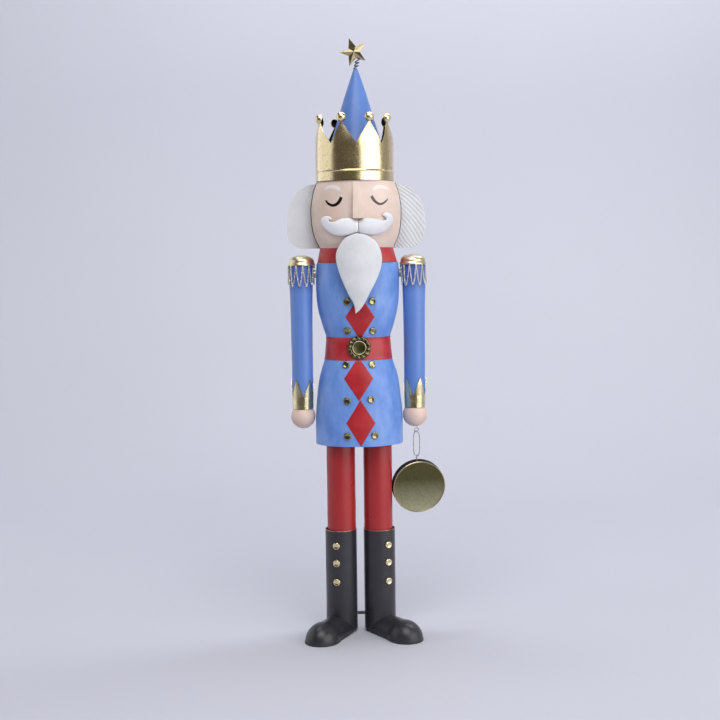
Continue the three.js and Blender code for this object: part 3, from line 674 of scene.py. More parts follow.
def make_shoe(side, sign):
    x = local(f"boot_tube_{side}").x
    turn = Matrix.Rotation(sign * math.radians(SHOE_SPLAY[side]), 3, "Z")
    end = SHOE_REACH + BALL_HALF_L
    stations = [2 + 1.5 * i for i in range(55)]
    stations += [end - (end - stations[-1]) * (1 - i / 24) ** 2 for i in range(1, 25)]
    skin, sole = [], []
    for s in stations:
        w, h = (max(v, 0.01) for v in shoe_section(s))
        low = sole_lift(s)
        row = []
        for a in spread(0, math.pi, 40):
            p = turn @ Vector((w * math.cos(a), -s, 0))
            row.append(at(x + p.x, p.y, low + 1.6 + (h - low - 1.6) * math.sin(a)))
        skin.append(row)
        toe = 0.7 if s == end else 0
        across = [turn @ Vector((u, -s - toe, 0)) for u in spread(w + 0.8, -w - 0.8, 8)]
        sole.append([(at(x + p.x, p.y, low + 0.1), at(x + p.x, p.y, low + 1.8)) for p in across])
    bm = bmesh.new()
    add_grid(bm, skin)
    add_sheet(bm, sole)
    dent(bm, 0.15, 40, 12.0)
    for v in bm.verts:
        v.co.z = max(v.co.z, 0.0001)
    finish_piece(f"shoe_skin_{side}", bm, BLACK, f"shoe_{side}", 50)


def make_boot_buttons(side, sign):
    x = local(f"boot_tube_{side}").x
    turn = sign * math.radians(BOOT_BUTTON_TURN[side])
    normal = Vector((math.sin(turn), -math.cos(turn), 0))
    for i, z in enumerate(BOOT_BUTTON_Z, 1):
        bm = bmesh.new()
        add_stud(bm, at(x, 0, z) + normal * (BOOT_R + 1.2) * MM, normal, 0.97)
        finish_piece(f"boot_stud_{side}_{i}", bm, GOLD_SMOOTH, f"boot_button_{side}_{i}")


def make_tie_rod():
    low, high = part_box("foot_tie_rod")
    y, z = (low.y + high.y) / 2, (low.z + high.z) / 2
    radius = (high.z - low.z) / 2 / MM
    bm = bmesh.new()
    add_tube(bm, [Vector((x, y, z)) for x in spread(low.x, high.x, 8)], radius, 24)
    finish_piece("tie_bar", bm, BLACK, "foot_tie_rod")


# ---- head
COLLAR_LOW, COLLAR_HIGH = 757.4, 786.8
HEAD_X, HEAD_LOW, HEAD_TOP = -1.2, 787.3, 917.5
HEAD_PROFILE = (               # height, half width, half depth
    (HEAD_LOW, 73.3, 63.5), (796, 78, 68), (812, 84.6, 72.5), (832, 88.4, 76), (856, 89.9, 78),
    (874, 89, 78.5), (898, 84.4, 77.5), (HEAD_TOP, 77.5, 74.5),
)


def head_size(z):
    return profile_at(HEAD_PROFILE, z, 1), profile_at(HEAD_PROFILE, z, 2)


def face_y(x, z, out=0.0):
    w, d = head_size(z)
    return -(d + out) * math.sqrt(max(0.0, 1 - ((x - HEAD_X) / (w + out)) ** 2))


def make_collar():
    bm = bmesh.new()
    width = coat_width(SHOULDER_Z) - 1.5
    low, high = (width, width * COAT_DEPTH, COLLAR_LOW), (*HEAD_PROFILE[0][1:], COLLAR_HIGH)
    rows = []
    for t in spread(0, 1, 12):
        radius_x, radius_y, z = (a + (b - a) * t for a, b in zip(low, high))
        rows.append(ring(radius_x, radius_y, z, COAT_SIDES, HEAD_X * t))
    add_grid(bm, rows, True)
    dent(bm, 0.25, 26, 2.0)
    finish_piece("collar_band", bm, BELT_RED, "collar")


def half_shell(facing, out):
    """Rows of points over the head's front half (facing -1) or back half (1), so far outside it."""
    start = facing * math.pi / 2
    rows = []
    for z in spread(HEAD_LOW, HEAD_TOP, 46):
        w, d = head_size(z)
        rows.append([at(HEAD_X + (w + out) * math.sin(a), facing * 0.25 - (d + out) * math.cos(a), z)
                     for a in spread(start, start + math.pi, 72)])
    return rows


def make_head():
    """Front and back half shells that meet in a seam at the sides."""
    for name, node, facing, paint in (("face_sheet", "face", -1, FACE_SKIN),
                                      ("head_back_sheet", "head_back", 1, SKIN)):
        outer, inner = half_shell(facing, 0), half_shell(facing, -SHEET)
        bm = bmesh.new()
        add_grid(bm, outer)
        dent(bm, 0.35, 40, 6.0)
        add_grid(bm, inner, material=1)
        add_rims(bm, outer, inner, 1)
        finish_piece(name, bm, paint, node, extra=[INSIDE_AND_SHADE])


def make_head_seam(side, sign):
    """Dark bead down the joint between the two half shells, a painted shadow line along the seam."""
    path = [at(HEAD_X + sign * (head_size(z)[0] + 0.5), 1.2, z)
            for z in spread(HEAD_LOW + 3, HEAD_TOP - 1, 40)]
    bm = bmesh.new()
    add_tube(bm, path, 0.9, 10)
    finish_piece(f"head_seam_shadow_{side}", bm, INSIDE_AND_SHADE)


NOSE_TOP, NOSE_LOW, NOSE_OUT = 916, 843.5, 13
NOSE_TOP_EDGES, NOSE_LOW_EDGES = (-9.6, 3.2), (-11, 10.2)


def make_nose():
    """Folded wedge with crisp side walls and a closed underside."""
    bm = bmesh.new()
    rows = []
    for t in spread(0, 1, 30):
        z = NOSE_TOP + (NOSE_LOW - NOSE_TOP) * t
        left, right = (a + (b - a) * t for a, b in zip(NOSE_TOP_EDGES, NOSE_LOW_EDGES))
        out = 0.7 + NOSE_OUT * t ** 1.15
        front = face_y(0, z) - out
        row = []
        for u, v in ((0, 1), (0, 0.5), (0, 0.08), (0.04, 0), (0.28, -0.03), (0.5, -0.04),
                     (0.72, -0.03), (0.96, 0), (1, 0.08), (1, 0.5), (1, 1)):
            x = left + (right - left) * u
            base = face_y(x, z) - 0.1
            row.append(at(x, front + (base - front) * max(v, 0) + min(v, 0) * out, z))
        rows.append(row)
    grid = add_grid(bm, rows)
    bm.faces.new(grid[-1])
    finish_piece("nose_wedge", bm, FACE_SKIN, "nose", 35)


def panel(name, upper, lower, steps, across, surface, height, edge, back, material, slot, node=None):
    """Pillow-like sheet between two edge curves of (x, z) points that meet at both ends.

    surface(x, z, out) gives y, and back is how far out the sheet's back lies. edge is the
    thickness at its edges and height(s) the crown of the pillow along its length.
    """
    rows = []
    edges = [even(spline(curve, 160), steps) for curve in (upper, lower)]
    for i, (a, b) in enumerate(zip(*edges)):
        row = []
        for u in spread(-1, 1, across):
            p = a.lerp(b, (u + 1) / 2 - 0.06 * math.sin(math.pi * u))
            thick = edge + height(i / steps) * (1 - abs(u) ** 2.4) ** 0.6
            row.append((at(p.x, surface(p.x, p.y, back + thick), p.y),
                        at(p.x, surface(p.x, p.y, back), p.y)))
        rows.append(row)
    bm = bmesh.new()
    add_sheet(bm, rows)
    finish_piece(name, bm, material, node, 50)


MOUSTACHE = {                  # (x, z) of the upper edge and of the lower edge, middle to curl
    "right": (((-0.4, 838.6), (-8.1, 841.5), (-19.2, 844.3), (-30.3, 843.9), (-38.4, 841.2),
               (-44.9, 837.7), (-51, 836.2), (-55.4, 837.2), (-57.2, 839.4), (-55.6, 841.6),
               (-52.5, 841.4)),
              ((-0.4, 817), (-6.3, 815.3), (-16.5, 812), (-28.6, 809.6), (-42.8, 810.4),
               (-54.9, 815.7), (-63.9, 823), (-69.9, 831.3), (-71.8, 839.5), (-69.7, 845.5),
               (-63.6, 848.8), (-56.5, 848.1), (-52.2, 845), (-51.2, 842.4))),
    "left": (((0.2, 838.6), (5.1, 842), (14.3, 844.2), (24.5, 844), (34.8, 842.2), (45.2, 839.9),
              (52, 839), (55.2, 841), (53.6, 844.4), (50.5, 846.6), (48.2, 849)),
             ((0.2, 816.5), (7.9, 812.7), (20.2, 810.2), (34.7, 810.9), (48.3, 814.4), (60, 821.5),
              (67.5, 830.7), (70.4, 839.8), (68.2, 848), (63.3, 853), (56.9, 854.5), (51.1, 853.3),
              (48, 850))),
}


def make_moustache(side):
    panel(f"moustache_half_{side}", *MOUSTACHE[side], 110, 22, face_y,
          lambda s: 6.5 * min(1, s * 12 + 0.7) * (1 - 0.55 * s), 0.6, 2.6,
          MOUSTACHE_LIT_AND_SHADED_PAINT[side], "white_paint", f"moustache_{side}")


BEARD_LEFT = ((-2.3, 814.5), (9.9, 812.7), (20, 808.9), (28.5, 803.4), (36.5, 795.2), (42.4, 784),
              (45.6, 771.1), (45.6, 757.3), (41.4, 740), (32.6, 719.3), (21.6, 698.7), (9.4, 675.5),
              (0.4, 663.8), (-7, 657.6))
BEARD_RIGHT = ((-2.3, 814.5), (-10.5, 812.5), (-19.7, 809), (-27, 804.4), (-33, 797.6),
               (-39, 788), (-43, 778.5), (-44.2, 768), (-42.6, 754.5), (-36.6, 734), (-28.4, 713),
               (-19, 692.3), (-11.8, 680), (-8.7, 669.5), (-7, 657.6))


BEARD_TOP, BEARD_LENGTH, BEARD_HALF_W = 812, 155, 46
BEARD_Y = -79.5
BEARD_BACK, BEARD_BOW, BEARD_CURL = 8, 5, 9        # tip back, middle out, edges back by so much


def beard_y(x, z, out):
    """Bowed sheet that hangs from the face and stays clear of the chest."""
    t = (BEARD_TOP - z) / BEARD_LENGTH
    middle_y = BEARD_Y + BEARD_BACK * t - BEARD_BOW * math.sin(math.pi * t)
    return middle_y + ((x - 0.5) / BEARD_HALF_W) ** 2 * BEARD_CURL - out


def make_beard():
    panel("beard_leaf", BEARD_LEFT, BEARD_RIGHT, 90, 36, beard_y,
          lambda s: 3.4 * math.sin(math.pi * (0.02 + s * 0.96)) ** 0.7, 0.5, 0.0,
          WHITE, "white_paint", "beard")


def stroke(name, path, widths, height, material, slot):
    """Painted stroke that follows a path over the face with a changing width, as a thin film."""
    steps = 48
    centre = even(spline(path, 120), steps)
    upper, lower = [], []
    for i, p in enumerate(centre):
        along = centre[min(i + 1, steps)] - centre[max(i - 1, 0)]
        normal = Vector((-along.y, along.x)).normalized()
        t = i / steps * (len(widths) - 1)
        k = min(int(t), len(widths) - 2)
        half = (widths[k] + (widths[k + 1] - widths[k]) * (t - k)) / 2
        upper.append(p + normal * half)
        lower.append(p - normal * half)
    panel(name, upper, lower, steps, 8, face_y, lambda s: height, 0.05, 0.25, material, slot)


EYES = {"right": ((-62.6, 879.9), (-57.1, 872.9), (-49, 869.4), (-40.9, 871.8), (-35.1, 878.1),
                  (-32.2, 885)),
        "left": ((26.9, 886.4), (31.4, 878.9), (37.5, 873.3), (44.2, 870.9), (51.2, 873.4),
                 (56.6, 877.8), (59.4, 881.7))}
EYE_WIDTHS = {"right": (2.4, 4.6, 5.2, 6, 6.6, 5.6), "left": (5.6, 5.6, 5.2, 4.8, 4.2, 3.4, 1.8)}
BROWS = {"right": ((-64.1, 899.3), (-59.6, 903.2), (-52.5, 905.2), (-44.4, 904), (-38.4, 901.1),
                   (-34.9, 897.3)),
         "left": ((30, 898.8), (34.9, 902.3), (43.3, 904.4), (51.8, 903.6), (58.1, 900.7),
                  (61.7, 897.7))}
BROW_WIDTHS = {"right": (1.6, 4.8, 7, 8, 8, 6), "left": (6, 7.6, 8, 7, 4.5, 1.5)}


def make_eyes_and_brows():
    for side, _ in SIDES:
        stroke(f"eye_lid_line_{side}", EYES[side], EYE_WIDTHS[side], 0.18, EYES_PAINT_AND_REFLECTION[side],
               "black_paint")
        stroke(f"brow_{side}", BROWS[side], BROW_WIDTHS[side], 0.3, BROWS_PAINT[side], "white_paint")


HAIR_OUTER = ((74, 914.5), (84, 914), (94, 913), (102, 910.6), (111, 904.8), (119.8, 896), (129, 884),
              (135.4, 868.5), (138.9, 850), (140, 833.5), (138.4, 815), (134.4, 802), (126.5, 792.6),
              (115, 787), (104, 786), (92, 788.4), (82, 793), (76, 797))
HAIR_RIB_PITCH = 6.0
HAIR_RIB_HEIGHT = {"left": 0.85, "right": 0.25}


def rib_relief(x, z):
    """Share of the rib height at a point: ribs fan from nearly level at the top to steep below."""
    slope = math.radians(33 + 14 * min(1, max(0, (890 - z) / 90)))
    along = (z - 850) * math.cos(slope) + x * math.sin(slope)
    return 1 - (0.5 + 0.5 * math.cos(math.tau * along / HAIR_RIB_PITCH)) ** 2


def make_hair(side, sign):
    """Embossed plate: fine ribs run outwards and down across the flat sheet."""
    y0 = (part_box(f"hair_plate_{side}")[0].y - AXIS.y) / MM
    rows = []
    for p in even(spline(HAIR_OUTER, 240), 130):
        w, d = head_size(min(max(p.y, HEAD_LOW), HEAD_TOP))
        inner_x = w * math.sqrt(max(0, 1 - ((y0 + 2) / d) ** 2)) + 0.4
        inner = Vector((min(inner_x, p.x), p.y))
        row = []
        for t in spread(0, 1, 84):
            q = inner.lerp(p, t)
            fade = min(1, 28 * (1 - t), 28 * t)    # the ribs die away at both edges
            x = HEAD_X * 0.7 + sign * q.x
            y = y0 + 1.6 - HAIR_RIB_HEIGHT[side] * rib_relief(q.x, q.y) * fade
            row.append((at(x, y, q.y), at(x, y + 0.9, q.y)))
        rows.append(row)
    bm = bmesh.new()
    add_sheet(bm, rows)
    finish_piece(f"hair_sheet_{side}", bm, HAIR_LIT_AND_SHADED_PAINT[side], f"hair_plate_{side}", 60)


# ---- crown, hat, star
CROWN_X, CROWN_R = -2.8, 78
CROWN_LOW, CROWN_BEAD, CROWN_VALLEY, CROWN_TIP = 918.2, 937, 989.5, 1032
CROWN_LEAN, CROWN_BALL_R, CROWN_BALL_Z = 5, 9.6, 1040
PRONG_ANGLES = (-149, -117, -70, -22, 22, 58, 122, 155)    # degrees; 0 is the front
GAP_ANGLES = (-133, -94, -37.5, 0.3, 41, 90, 138, 183)     # the valley after each prong


def sawtooth(peaks, gaps, neck):
    """Function of an angle in degrees: 1 at each peak and 0 at each gap, one gap after each peak."""
    def height(a):
        for peak, gap, after in zip(peaks, gaps, (*peaks[1:], peaks[0] + 360)):
            turn = (a - peak) % 360
            if turn <= gap - peak:
                return min(1, (1 - turn / (gap - peak)) / (1 - neck))
            if turn <= after - peak:
                return min(1, (turn - gap + peak) / (after - gap) / (1 - neck))
        return 0.0
    return height


def toothed_band(radius, low, valley, tip, tooth, count, centre, bead=None):
    """Thin sheet band with pointed teeth along its top; the inside face takes material 1."""
    band_rows, tooth_rows = 90, 24
    turns = [math.tau * k / count - math.pi for k in range(count)]
    tops = [valley + (tip - valley) * tooth(360 * k / count - 180) for k in range(count)]
    base = valley - 1

    def row(heights, out):
        return [at(centre + (radius(z) + out) * math.sin(a), -(radius(z) + out) * math.cos(a), z)
                for a, z in zip(turns, heights)]

    edges = []
    bm = bmesh.new()
    for inside, out in ((0, 0.0), (1, -SHEET * 0.9)):
        rows = []
        for z in spread(low, base, band_rows):
            rows.append(row([z] * count, out + (math.exp(-(z - bead) ** 2) if bead else 0)))
        for f in range(1, tooth_rows + 1):
            rows.append(row([base + (top - base) * f / tooth_rows for top in tops], out))
        add_grid(bm, rows, True, inside)
        edges.append((rows[0], rows[-1]))
    for outer, inner in zip(*edges):
        add_grid(bm, [outer, inner], True)
    return bm


def crown_radius(z):
    """The teeth bend inwards, ever more towards their tips."""
    return CROWN_R - CROWN_LEAN * max(0.0, (z - CROWN_VALLEY) / (CROWN_TIP - CROWN_VALLEY)) ** 1.9


def add_cup(bm, place, out):
    """Half ball of thin sheet whose hollow side faces the crown's middle."""
    side = Vector((-out.y, out.x, 0))
    rims = []
    for inside, r in ((0, CROWN_BALL_R), (1, CROWN_BALL_R - 0.8)):
        rows = [circle(place + out * r * math.sin(t) * MM, side, Vector((0, 0, 1)),
                       max(r * math.cos(t), 0.001), 28)
                for t in spread(0, math.pi / 2, 12)]
        add_grid(bm, rows, True, inside)
        rims.append(rows[0])
    add_grid(bm, rims, True)


def make_crown():
    teeth = sawtooth(PRONG_ANGLES, GAP_ANGLES, 0.05)
    bm = toothed_band(crown_radius, CROWN_LOW, CROWN_VALLEY, CROWN_TIP, teeth, 360, CROWN_X, CROWN_BEAD)
    dent(bm, 0.35, 24, 1.0)
    for degrees in PRONG_ANGLES:
        a = math.radians(degrees)
        out = Vector((math.sin(a), -math.cos(a), 0))
        add_cup(bm, at(CROWN_X, 0, CROWN_BALL_Z) + out * (crown_radius(CROWN_TIP) - 0.6) * MM, out)
    finish_piece("crown_band", bm, GOLD, "crown", 45, [INSIDE_AND_SHADE])


HAT_LEAN = 1.3                 # the tip stands this far to the left of the figure's axis
HAT_LOW, HAT_TOP = 919, 1139.4
HAT_PROFILE = ((HAT_LOW, 74), (945, 66.4), (970, 58.6), (996, 50.1), (1030, 39.6), (1062.5, 29.8),
               (1093, 20.2), (1120, 11), (1137, 5), (HAT_TOP, 3.8))


def make_hat():
    bm = bmesh.new()
    wall = [(profile_at(HAT_PROFILE, z), z) for z in spread(HAT_LOW, HAT_TOP, 70)]
    add_lathe(bm, wall + [(0.01, HAT_TOP)], 112)
    for v in bm.verts:
        v.co.x += HAT_LEAN * MM * (v.co.z / MM - HAT_LOW) / 220
    dent(bm, 0.35, 36, 14.0)
    finish_piece("hat_sheet", bm, HAT_BLUE, "hat_cone")


SPRING_LOW, SPRING_HIGH, SPRING_R, SPRING_TURNS, SPRING_WIRE = 1139.3, 1159, 4.2, 3.2, 1.1
STAR_X, STAR_Z, STAR_R, STAR_NOTCH_R, STAR_T = -2, 1173.2, 29, 12.6, 6.8
STAR_TURN = math.radians(18.5)


def make_spring():
    """Loose coil from the hat's tip to the star."""
    path = []
    for t in spread(0, 1, 130):
        a = math.tau * SPRING_TURNS * t
        r = SPRING_R * min(1, 0.6 + 2.5 * t)
        tilt = 1.6 * math.cos(a)
        path.append(at(HAT_LEAN + r * math.cos(a) + 4.4 * t, r * math.sin(a),
                       SPRING_LOW + (SPRING_HIGH - SPRING_LOW) * t + tilt * min(1, 4 * t)))
    bm = bmesh.new()
    add_tube(bm, path, SPRING_WIRE, 10)
    piece = finish_piece("star_coil", bm, SPRING_BLUE, "star_spring", body=None)
    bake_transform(piece)


def make_star():
    """Faceted five-pointed star of pressed sheet, ridged on both faces."""
    middle_y = local("star").y
    bm = bmesh.new()
    for face in (-1, 1):
        rows = []
        for f in (1.0, 0.985, 0.66, 0.33, 0.01):
            row = []
            for k in range(10):
                a = math.pi / 5 * k + STAR_TURN
                r = (STAR_R if k % 2 == 0 else STAR_NOTCH_R) * f
                lift = 0.35 + (STAR_T - 0.35) * (1 - f) if f < 1 else 0
                row.append(at(STAR_X - r * math.sin(a), middle_y + face * lift, STAR_Z + r * math.cos(a)))
            rows.append(row)
        grid = add_grid(bm, rows, True)
        bm.faces.new(grid[-1])
    # The star takes the gold darkened as painted shade.
    finish_piece("star_body", bm, GOLD_SHADED, "star", 12, body="star")


# ---- arms
SLEEVE_LOW, SLEEVE_HIGH = 464, 756
ARM_PROFILE = ((SLEEVE_LOW, 19.9), (525, 21.2), (598, 21.6), (680, 22.5), (709, 23.4),
               (SLEEVE_HIGH, 23.8))
CUFF_LOW, CUFF_VALLEY, CUFF_TIP = 463, 487.5, 523
CUFF_TURN = {"left": -12, "right": 5}          # degrees to the first gap
HAND_R, HAND_Z = 24.8, 447
CAP_SHIFT, CAP_R, CAP_LOW, CAP_LIP, CAP_TOP = 1.8, 27.2, 752, 759.3, 773


def make_arm(side, sign):
    x, body = local(f"arm_{side}").x, f"arm_{side}"
    make_sleeve(side, x, body)
    make_cuff(side, x, body)
    make_hand(side, x, body)
    make_epaulette(side, x - sign * CAP_SHIFT, body)
    make_fringe(side, sign, x, body)


def make_sleeve(side, x, body):
    wall = [(profile_at(ARM_PROFILE, z), z) for z in spread(SLEEVE_LOW, SLEEVE_HIGH, 60)]
    bm = bmesh.new()
    add_lathe(bm, [(18.8, SLEEVE_LOW)] + wall, 72, x)
    dent(bm, 0.25, 30, 7.0)
    finish_piece(f"arm_tube_{side}", bm, BLUE_SMOOTH, f"arm_{side}", body=body)


def cuff_radius(z):
    flare = max(0, (z - CUFF_VALLEY) / (CUFF_TIP - CUFF_VALLEY))
    return profile_at(ARM_PROFILE, z) + STAND_OFF + SHEET + flare


def make_cuff(side, x, body):
    gaps = [CUFF_TURN[side] + 72 * i for i in range(-2, 3)]
    teeth = sawtooth([gap - 36 for gap in gaps], gaps, 0.03)
    bm = toothed_band(cuff_radius, CUFF_LOW, CUFF_VALLEY, CUFF_TIP, teeth, 240, x)
    dent(bm, 0.15, 14, 4.0)
    finish_piece(f"cuff_band_{side}", bm, GOLD_CUFF, f"cuff_{side}", 45, [INSIDE_AND_SHADE],
                 body=body)


def make_hand(side, x, body):
    arc = spread(math.radians(-90), math.radians(68), 44)
    bm = bmesh.new()
    add_lathe(bm, [(HAND_R * math.cos(a), HAND_Z + HAND_R * math.sin(a)) for a in arc], 72, x)
    dent(bm, 0.15, 20, 4.0)
    finish_piece(f"hand_ball_{side}", bm, SKIN, f"hand_{side}", body=body)


def make_epaulette(side, x, body):
    """Domed lid with a flared lip over the sleeve's top."""
    dome = ((0.01, 0), (6, -0.25), (12, -1.1), (17.5, -2.9), (21.6, -5.6), (24.2, -8.8), (25.2, -11.4))
    lid = [(r, CAP_TOP + drop) for r, drop in dome]
    lid += [(24.8, CAP_LIP + 1.2), (25.4, CAP_LIP - 1.4), (26.6, CAP_LIP - 3.6), (CAP_R, CAP_LOW + 1.6),
            (CAP_R, CAP_LOW + 0.1), (CAP_R - SHEET, CAP_LOW + 0.1), (CAP_R - SHEET - 1.6, CAP_LIP - 3)]
    bm = bmesh.new()
    add_lathe(bm, round_path(lid, 0.9, 3), 80, x)
    dent(bm, 0.1, 30, 15.0)
    finish_piece(f"epaulette_lid_{side}", bm, GOLD_SATIN, f"epaulette_{side}", body=body)


FRINGE_SHIFT, FRINGE_R, FRINGE_LOOPS, FRINGE_DROP = 0.6, 27.0, 12, 43
FRINGE_GAP, FRINGE_SHORT = 0.34, 5.5     # radians each side of the bolt, and the loops' drop there
LINK_PITCH, LINK_LONG, LINK_WIDE, LINK_WIRE = 2.4, 1.85, 1.2, 0.46


def chain_link(bm, place, along, out, roll):
    """One oval chain link: a closed wire loop lengthways to along."""
    side = (out * math.cos(roll) + along.cross(out) * math.sin(roll)).normalized()
    path = [place + (along * LINK_LONG * math.cos(a) + side * LINK_WIDE * math.sin(a)) * MM
            for a in full_turn(10)]
    add_tube(bm, path, LINK_WIRE, 5, True)


def make_fringe(side, sign, x, body):
    """Fine chain looped round the sleeve in pointed swags, hung from the inside of the lid."""
    bm = bmesh.new()
    top, middle_x = CAP_LOW + 1, x - sign * FRINGE_SHIFT
    bolt = math.pi / 2 * -sign                     # the bolt's direction, from the front
    path = []
    per_loop = 80
    for i in range(FRINGE_LOOPS * per_loop + 1):
        t = i / per_loop
        s = t % 1                                  # share of the way along this loop
        a = math.tau * t / FRINGE_LOOPS + 0.13
        deep = FRINGE_DROP * (0.95 + 0.05 * math.sin(5.1 * int(t) + 1))
        if abs(math.remainder(a - bolt, math.tau)) < FRINGE_GAP:
            deep = FRINGE_SHORT
        z = top - deep * (1 - abs(2 * s - 1) ** 1.5)
        a += 0.05 * math.sin(3.7 * int(t)) * math.sin(math.pi * s)
        r = FRINGE_R - 1.4 * abs(2 * s - 1)
        path.append(at(middle_x + r * math.sin(a), -r * math.cos(a), z))
    links = even(path, round(sum((b - a).length for a, b in zip(path, path[1:])) / MM / LINK_PITCH))
    for i in range(len(links) - 1):
        a, b = links[i], links[i + 1]
        centre = (a + b) / 2
        out = Vector((centre.x - (AXIS.x + middle_x * MM), centre.y - AXIS.y, 0)).normalized()
        chain_link(bm, centre, (b - a).normalized(), out, 0.5 + (i % 2) * math.pi / 2)
    finish_piece(f"fringe_chain_{side}", bm, CHAIN, f"fringe_{side}", 80, body=body)


BOLT_R, BOLT_BEVEL = 8, 0.6


def make_shoulder_bolt(side):
    """Round spacer with bevelled ends, between the coat and the sleeve."""
    low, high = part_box(f"shoulder_bolt_{side}")
    y, z, bevel = (low.y + high.y) / 2, (low.z + high.z) / 2, BOLT_BEVEL * MM
    stations = [(low.x, BOLT_R - BOLT_BEVEL), (low.x + bevel, BOLT_R), (high.x - bevel, BOLT_R),
                (high.x, BOLT_R - BOLT_BEVEL)]
    rows = [circle(Vector((x, y, z)), Vector((0, 1, 0)), Vector((0, 0, 1)), r, 36) for x, r in stations]
    bm = bmesh.new()
    grid = add_grid(bm, rows, True)
    bm.faces.new(grid[0])
    bm.faces.new(grid[-1])
    finish_piece(f"shoulder_spacer_{side}", bm, WIRE, f"shoulder_bolt_{side}")


# ---- drum
HANG_X, EYE_Z, EYE_R, EYE_WIRE = 116.6, 414.3, 4.2, 0.85
LINK_HIGH, LINK_LOW, LINK_HALF_W, LINK_BAR = 412.6, 361, 6.4, 0.9
DRUM_R, DRUM_T, DRUM_X, DRUM_Z, BOW_R = 54.4, 20, 5, 296.8, 2.6
DRUM_YAW, DRUM_LEAN = math.radians(8), math.radians(8)


def make_screw_eye():
    """Hand-bent hook: one open turn of wire that rises into the palm."""
    path = []
    for a in spread(math.radians(-165), math.radians(165), 43):
        out = 0.5 + 0.5 * abs(a) / math.pi
        path.append(at(HANG_X + (EYE_R + 1.6) * math.sin(a) * out, EYE_R * math.sin(a),
                       EYE_Z - EYE_R * math.cos(a)))
    path += [path[-1] + Vector((-0.25 * i, -0.1 * i, 0.65 * i)) * MM for i in range(1, 5)]
    bm = bmesh.new()
    add_tube(bm, path, EYE_WIRE, 10)
    finish_piece("eye_screw", bm, WIRE, "screw_eye", body="arm_left")


def make_drum_link():
    """Long wire loop with bowed sides, drawn in towards its round ends."""
    half, mid = (LINK_HIGH - LINK_LOW) / 2, (LINK_HIGH + LINK_LOW) / 2
    loop = []
    for a in full_turn(96):
        x, z = (math.copysign(abs(v) ** 0.7, v) for v in (math.sin(a), math.cos(a)))
        loop.append(at(HANG_X + LINK_HALF_W * x, 0, mid + half * z))
    bm = bmesh.new()
    add_tube(bm, even(loop + [loop[0]], 140)[:-1], LINK_BAR, 10, True)
    finish_piece("drum_wire_link", bm, WIRE, "drum_link", body="drum_link")


def drum_place(x, y, z):
    """Place of a point of the upright drum once it hangs leaned and turned under the link."""
    turn = Matrix.Rotation(DRUM_YAW, 3, "Z") @ Matrix.Rotation(DRUM_LEAN, 3, "X")
    p = turn @ Vector((DRUM_X + x, y, z - LINK_LOW))
    return at(HANG_X + p.x, p.y, LINK_LOW + p.z)


def drum_rows(profile):
    """Rings round the drum's own axis, from (radius, place along the axis) pairs."""
    return [[drum_place(max(r, 0.01) * math.sin(a), y, DRUM_Z + max(r, 0.01) * math.cos(a))
             for a in full_turn(128)] for r, y in profile]


def make_drum_pan():
    """Shallow round tin with a lip at each face, a plain back and the bow of wire it hangs by."""
    half = DRUM_T / 2
    lip = [(DRUM_R - 2.2, -half + 1), (DRUM_R - 1.7, -half + 0.1), (DRUM_R - 0.6, -half + 0.1),
           (DRUM_R, -half + 0.7), (DRUM_R, -half + 2.4), (DRUM_R - 0.6, -half + 3)]
    wall = [(DRUM_R - 0.6, y) for y in spread(-half + 3, half - 2.2, 8)[1:]]
    wall += [(DRUM_R, half - 1.6), (DRUM_R, half - 0.6), (DRUM_R - 0.3, half - 0.1),
             (DRUM_R - 0.9, half - 0.1), (DRUM_R - 1.3, half - 0.9)]
    back = [(r, half - 0.9) for r in spread(DRUM_R - 1.3, 0, 24)]
    bm = bmesh.new()
    # Painted shade: the side wall takes the near-black and the lips the darkened gold, where gold lies in
    # dark reflection.
    add_grid(bm, drum_rows(lip + wall), True, [0] * (len(lip) - 1) + [1] * len(wall))
    add_grid(bm, drum_rows(back), True, 2)
    top = LINK_LOW + LINK_BAR + STAND_OFF + 0.9
    foot, shoulder = DRUM_Z + DRUM_R - 0.8, top - BOW_R
    wire = [(-BOW_R, z) for z in spread(foot, shoulder, 8)[:-1]]
    wire += [(-BOW_R * math.cos(a), shoulder + BOW_R * math.sin(a)) for a in spread(0, math.pi, 24)]
    wire += [(BOW_R, z) for z in spread(shoulder, foot, 8)[1:]]
    add_tube(bm, [drum_place(-DRUM_X, y, z) for y, z in wire], 0.6, 10, material=3)
    finish_piece("drum_pan", bm, GOLD_SHADED, "drum_shell", 40, [INSIDE_AND_SHADE, DRUM_GOLD, WIRE],
                 body="drum")


def make_drum_skin():
    """Hammered front disc."""
    y, edge = -DRUM_T / 2 + 0.75, DRUM_R - 2.3
    face = [(r, y + 0.35 * (r / edge) ** 4) for r in spread(0, edge, 40)]
    bm = bmesh.new()
    add_grid(bm, drum_rows(face), True)
    for v in bm.verts:
        v.co.y += (noise.noise(v.co * 160) * 0.22 + noise.noise(v.co * 70) * 0.3) * MM
    finish_piece("drum_skin", bm, DRUM_GOLD, "drum_head", 60, body="drum")


# ---- stage and assembly
PAPER = (0.52, 0.53, 0.612)


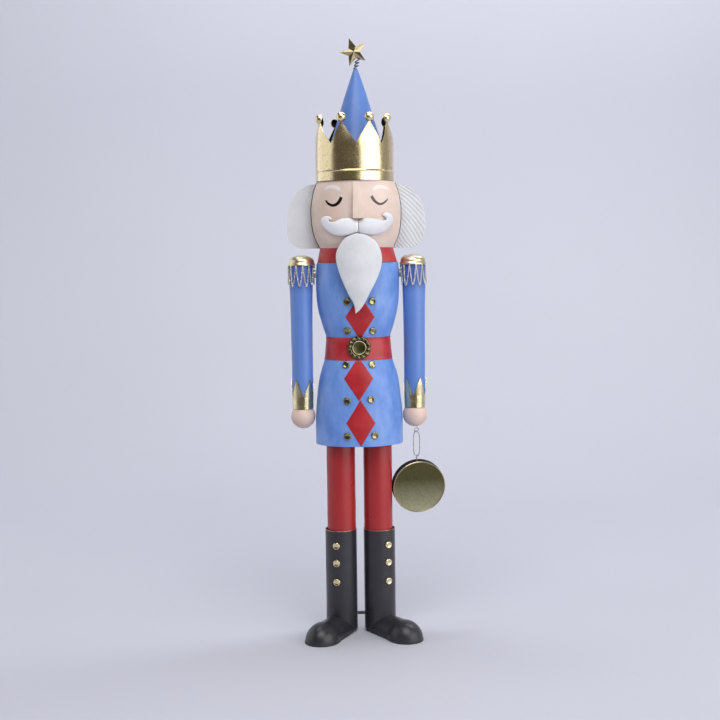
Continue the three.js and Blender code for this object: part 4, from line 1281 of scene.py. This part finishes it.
def make_stage():
    """Pale floor that sweeps up into a backdrop."""
    material, tree, shader = new_material("studio_paper", PAPER, 0.85)
    shades = ramp(tree, noise_node(tree, 0.8, 2), [(0.3, PAPER), (0.7, [c + 0.02 for c in PAPER])])
    tree.links.new(shades, shader.inputs["Base Color"])
    bm = bmesh.new()
    path = [(-1.7, 0.0), (1.2, 0.0)]
    path += [(1.2 + 1.4 * math.sin(math.radians(a)), 1.4 - 1.4 * math.cos(math.radians(a)))
             for a in range(5, 91, 5)]
    path.append((2.6, 6.5))
    add_grid(bm, [[Vector((x, y, z)) for x in (-7, 7)] for y, z in path])
    mesh_object("paper_sweep", bm, material)


def paint_hip_plate():
    """The plate inside the coat stays as the CAD has it and only gets its finish here."""
    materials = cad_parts["hip_plate"].data.materials
    materials.clear()
    materials.append(INSIDE_AND_SHADE)


make_camera()
make_lights()
make_stage()
for cheek_x, strength in ((-52, 0.2), (48, 0.08)):     # blush
    add_glow(FACE_SKIN, at(cheek_x, face_y(cheek_x, 855), 855), 0.032, (0.80, 0.42, 0.34), strength)
# Painted reflection: the drum's gold darkens towards its top; the buckle's dish, higher up, takes the
# full tint.
shade_by_height(DRUM_GOLD, (DRUM_Z - 0.9 * DRUM_R) * MM, (DRUM_Z + 0.3 * DRUM_R) * MM,
                (0.22, 0.205, 0.125))
# Painted shade: each sleeve darkens upwards from about the fringe's tips, under the fringe and the lid.
fringe_tip = (CAP_LOW - FRINGE_DROP) * MM
shade_by_height(BLUE_SMOOTH, fringe_tip - 0.014, fringe_tip + 0.016, (0.62, 0.62, 0.76))

coat_shell("skirt_sheet", HEM_Z, WAIST_Z, "skirt")
coat_shell("jacket_sheet", WAIST_Z, SHOULDER_Z, "jacket", True)
make_belt()
make_buckle()
for diamond in DIAMONDS:
    make_diamond(*diamond)
make_coat_buttons()
make_tie_rod()
make_collar()
make_head()
make_nose()
make_beard()
make_eyes_and_brows()
make_crown()
make_hat()
make_spring()
make_star()
for side_name, side_sign in SIDES:
    make_leg(side_name)
    make_boot(side_name)
    make_shoe(side_name, side_sign)
    make_boot_buttons(side_name, side_sign)
    make_hair(side_name, side_sign)
    make_head_seam(side_name, side_sign)
    make_moustache(side_name)
    make_arm(side_name, side_sign)
    make_shoulder_bolt(side_name)
make_screw_eye()
make_drum_link()
make_drum_pan()
make_drum_skin()
paint_hip_plate()
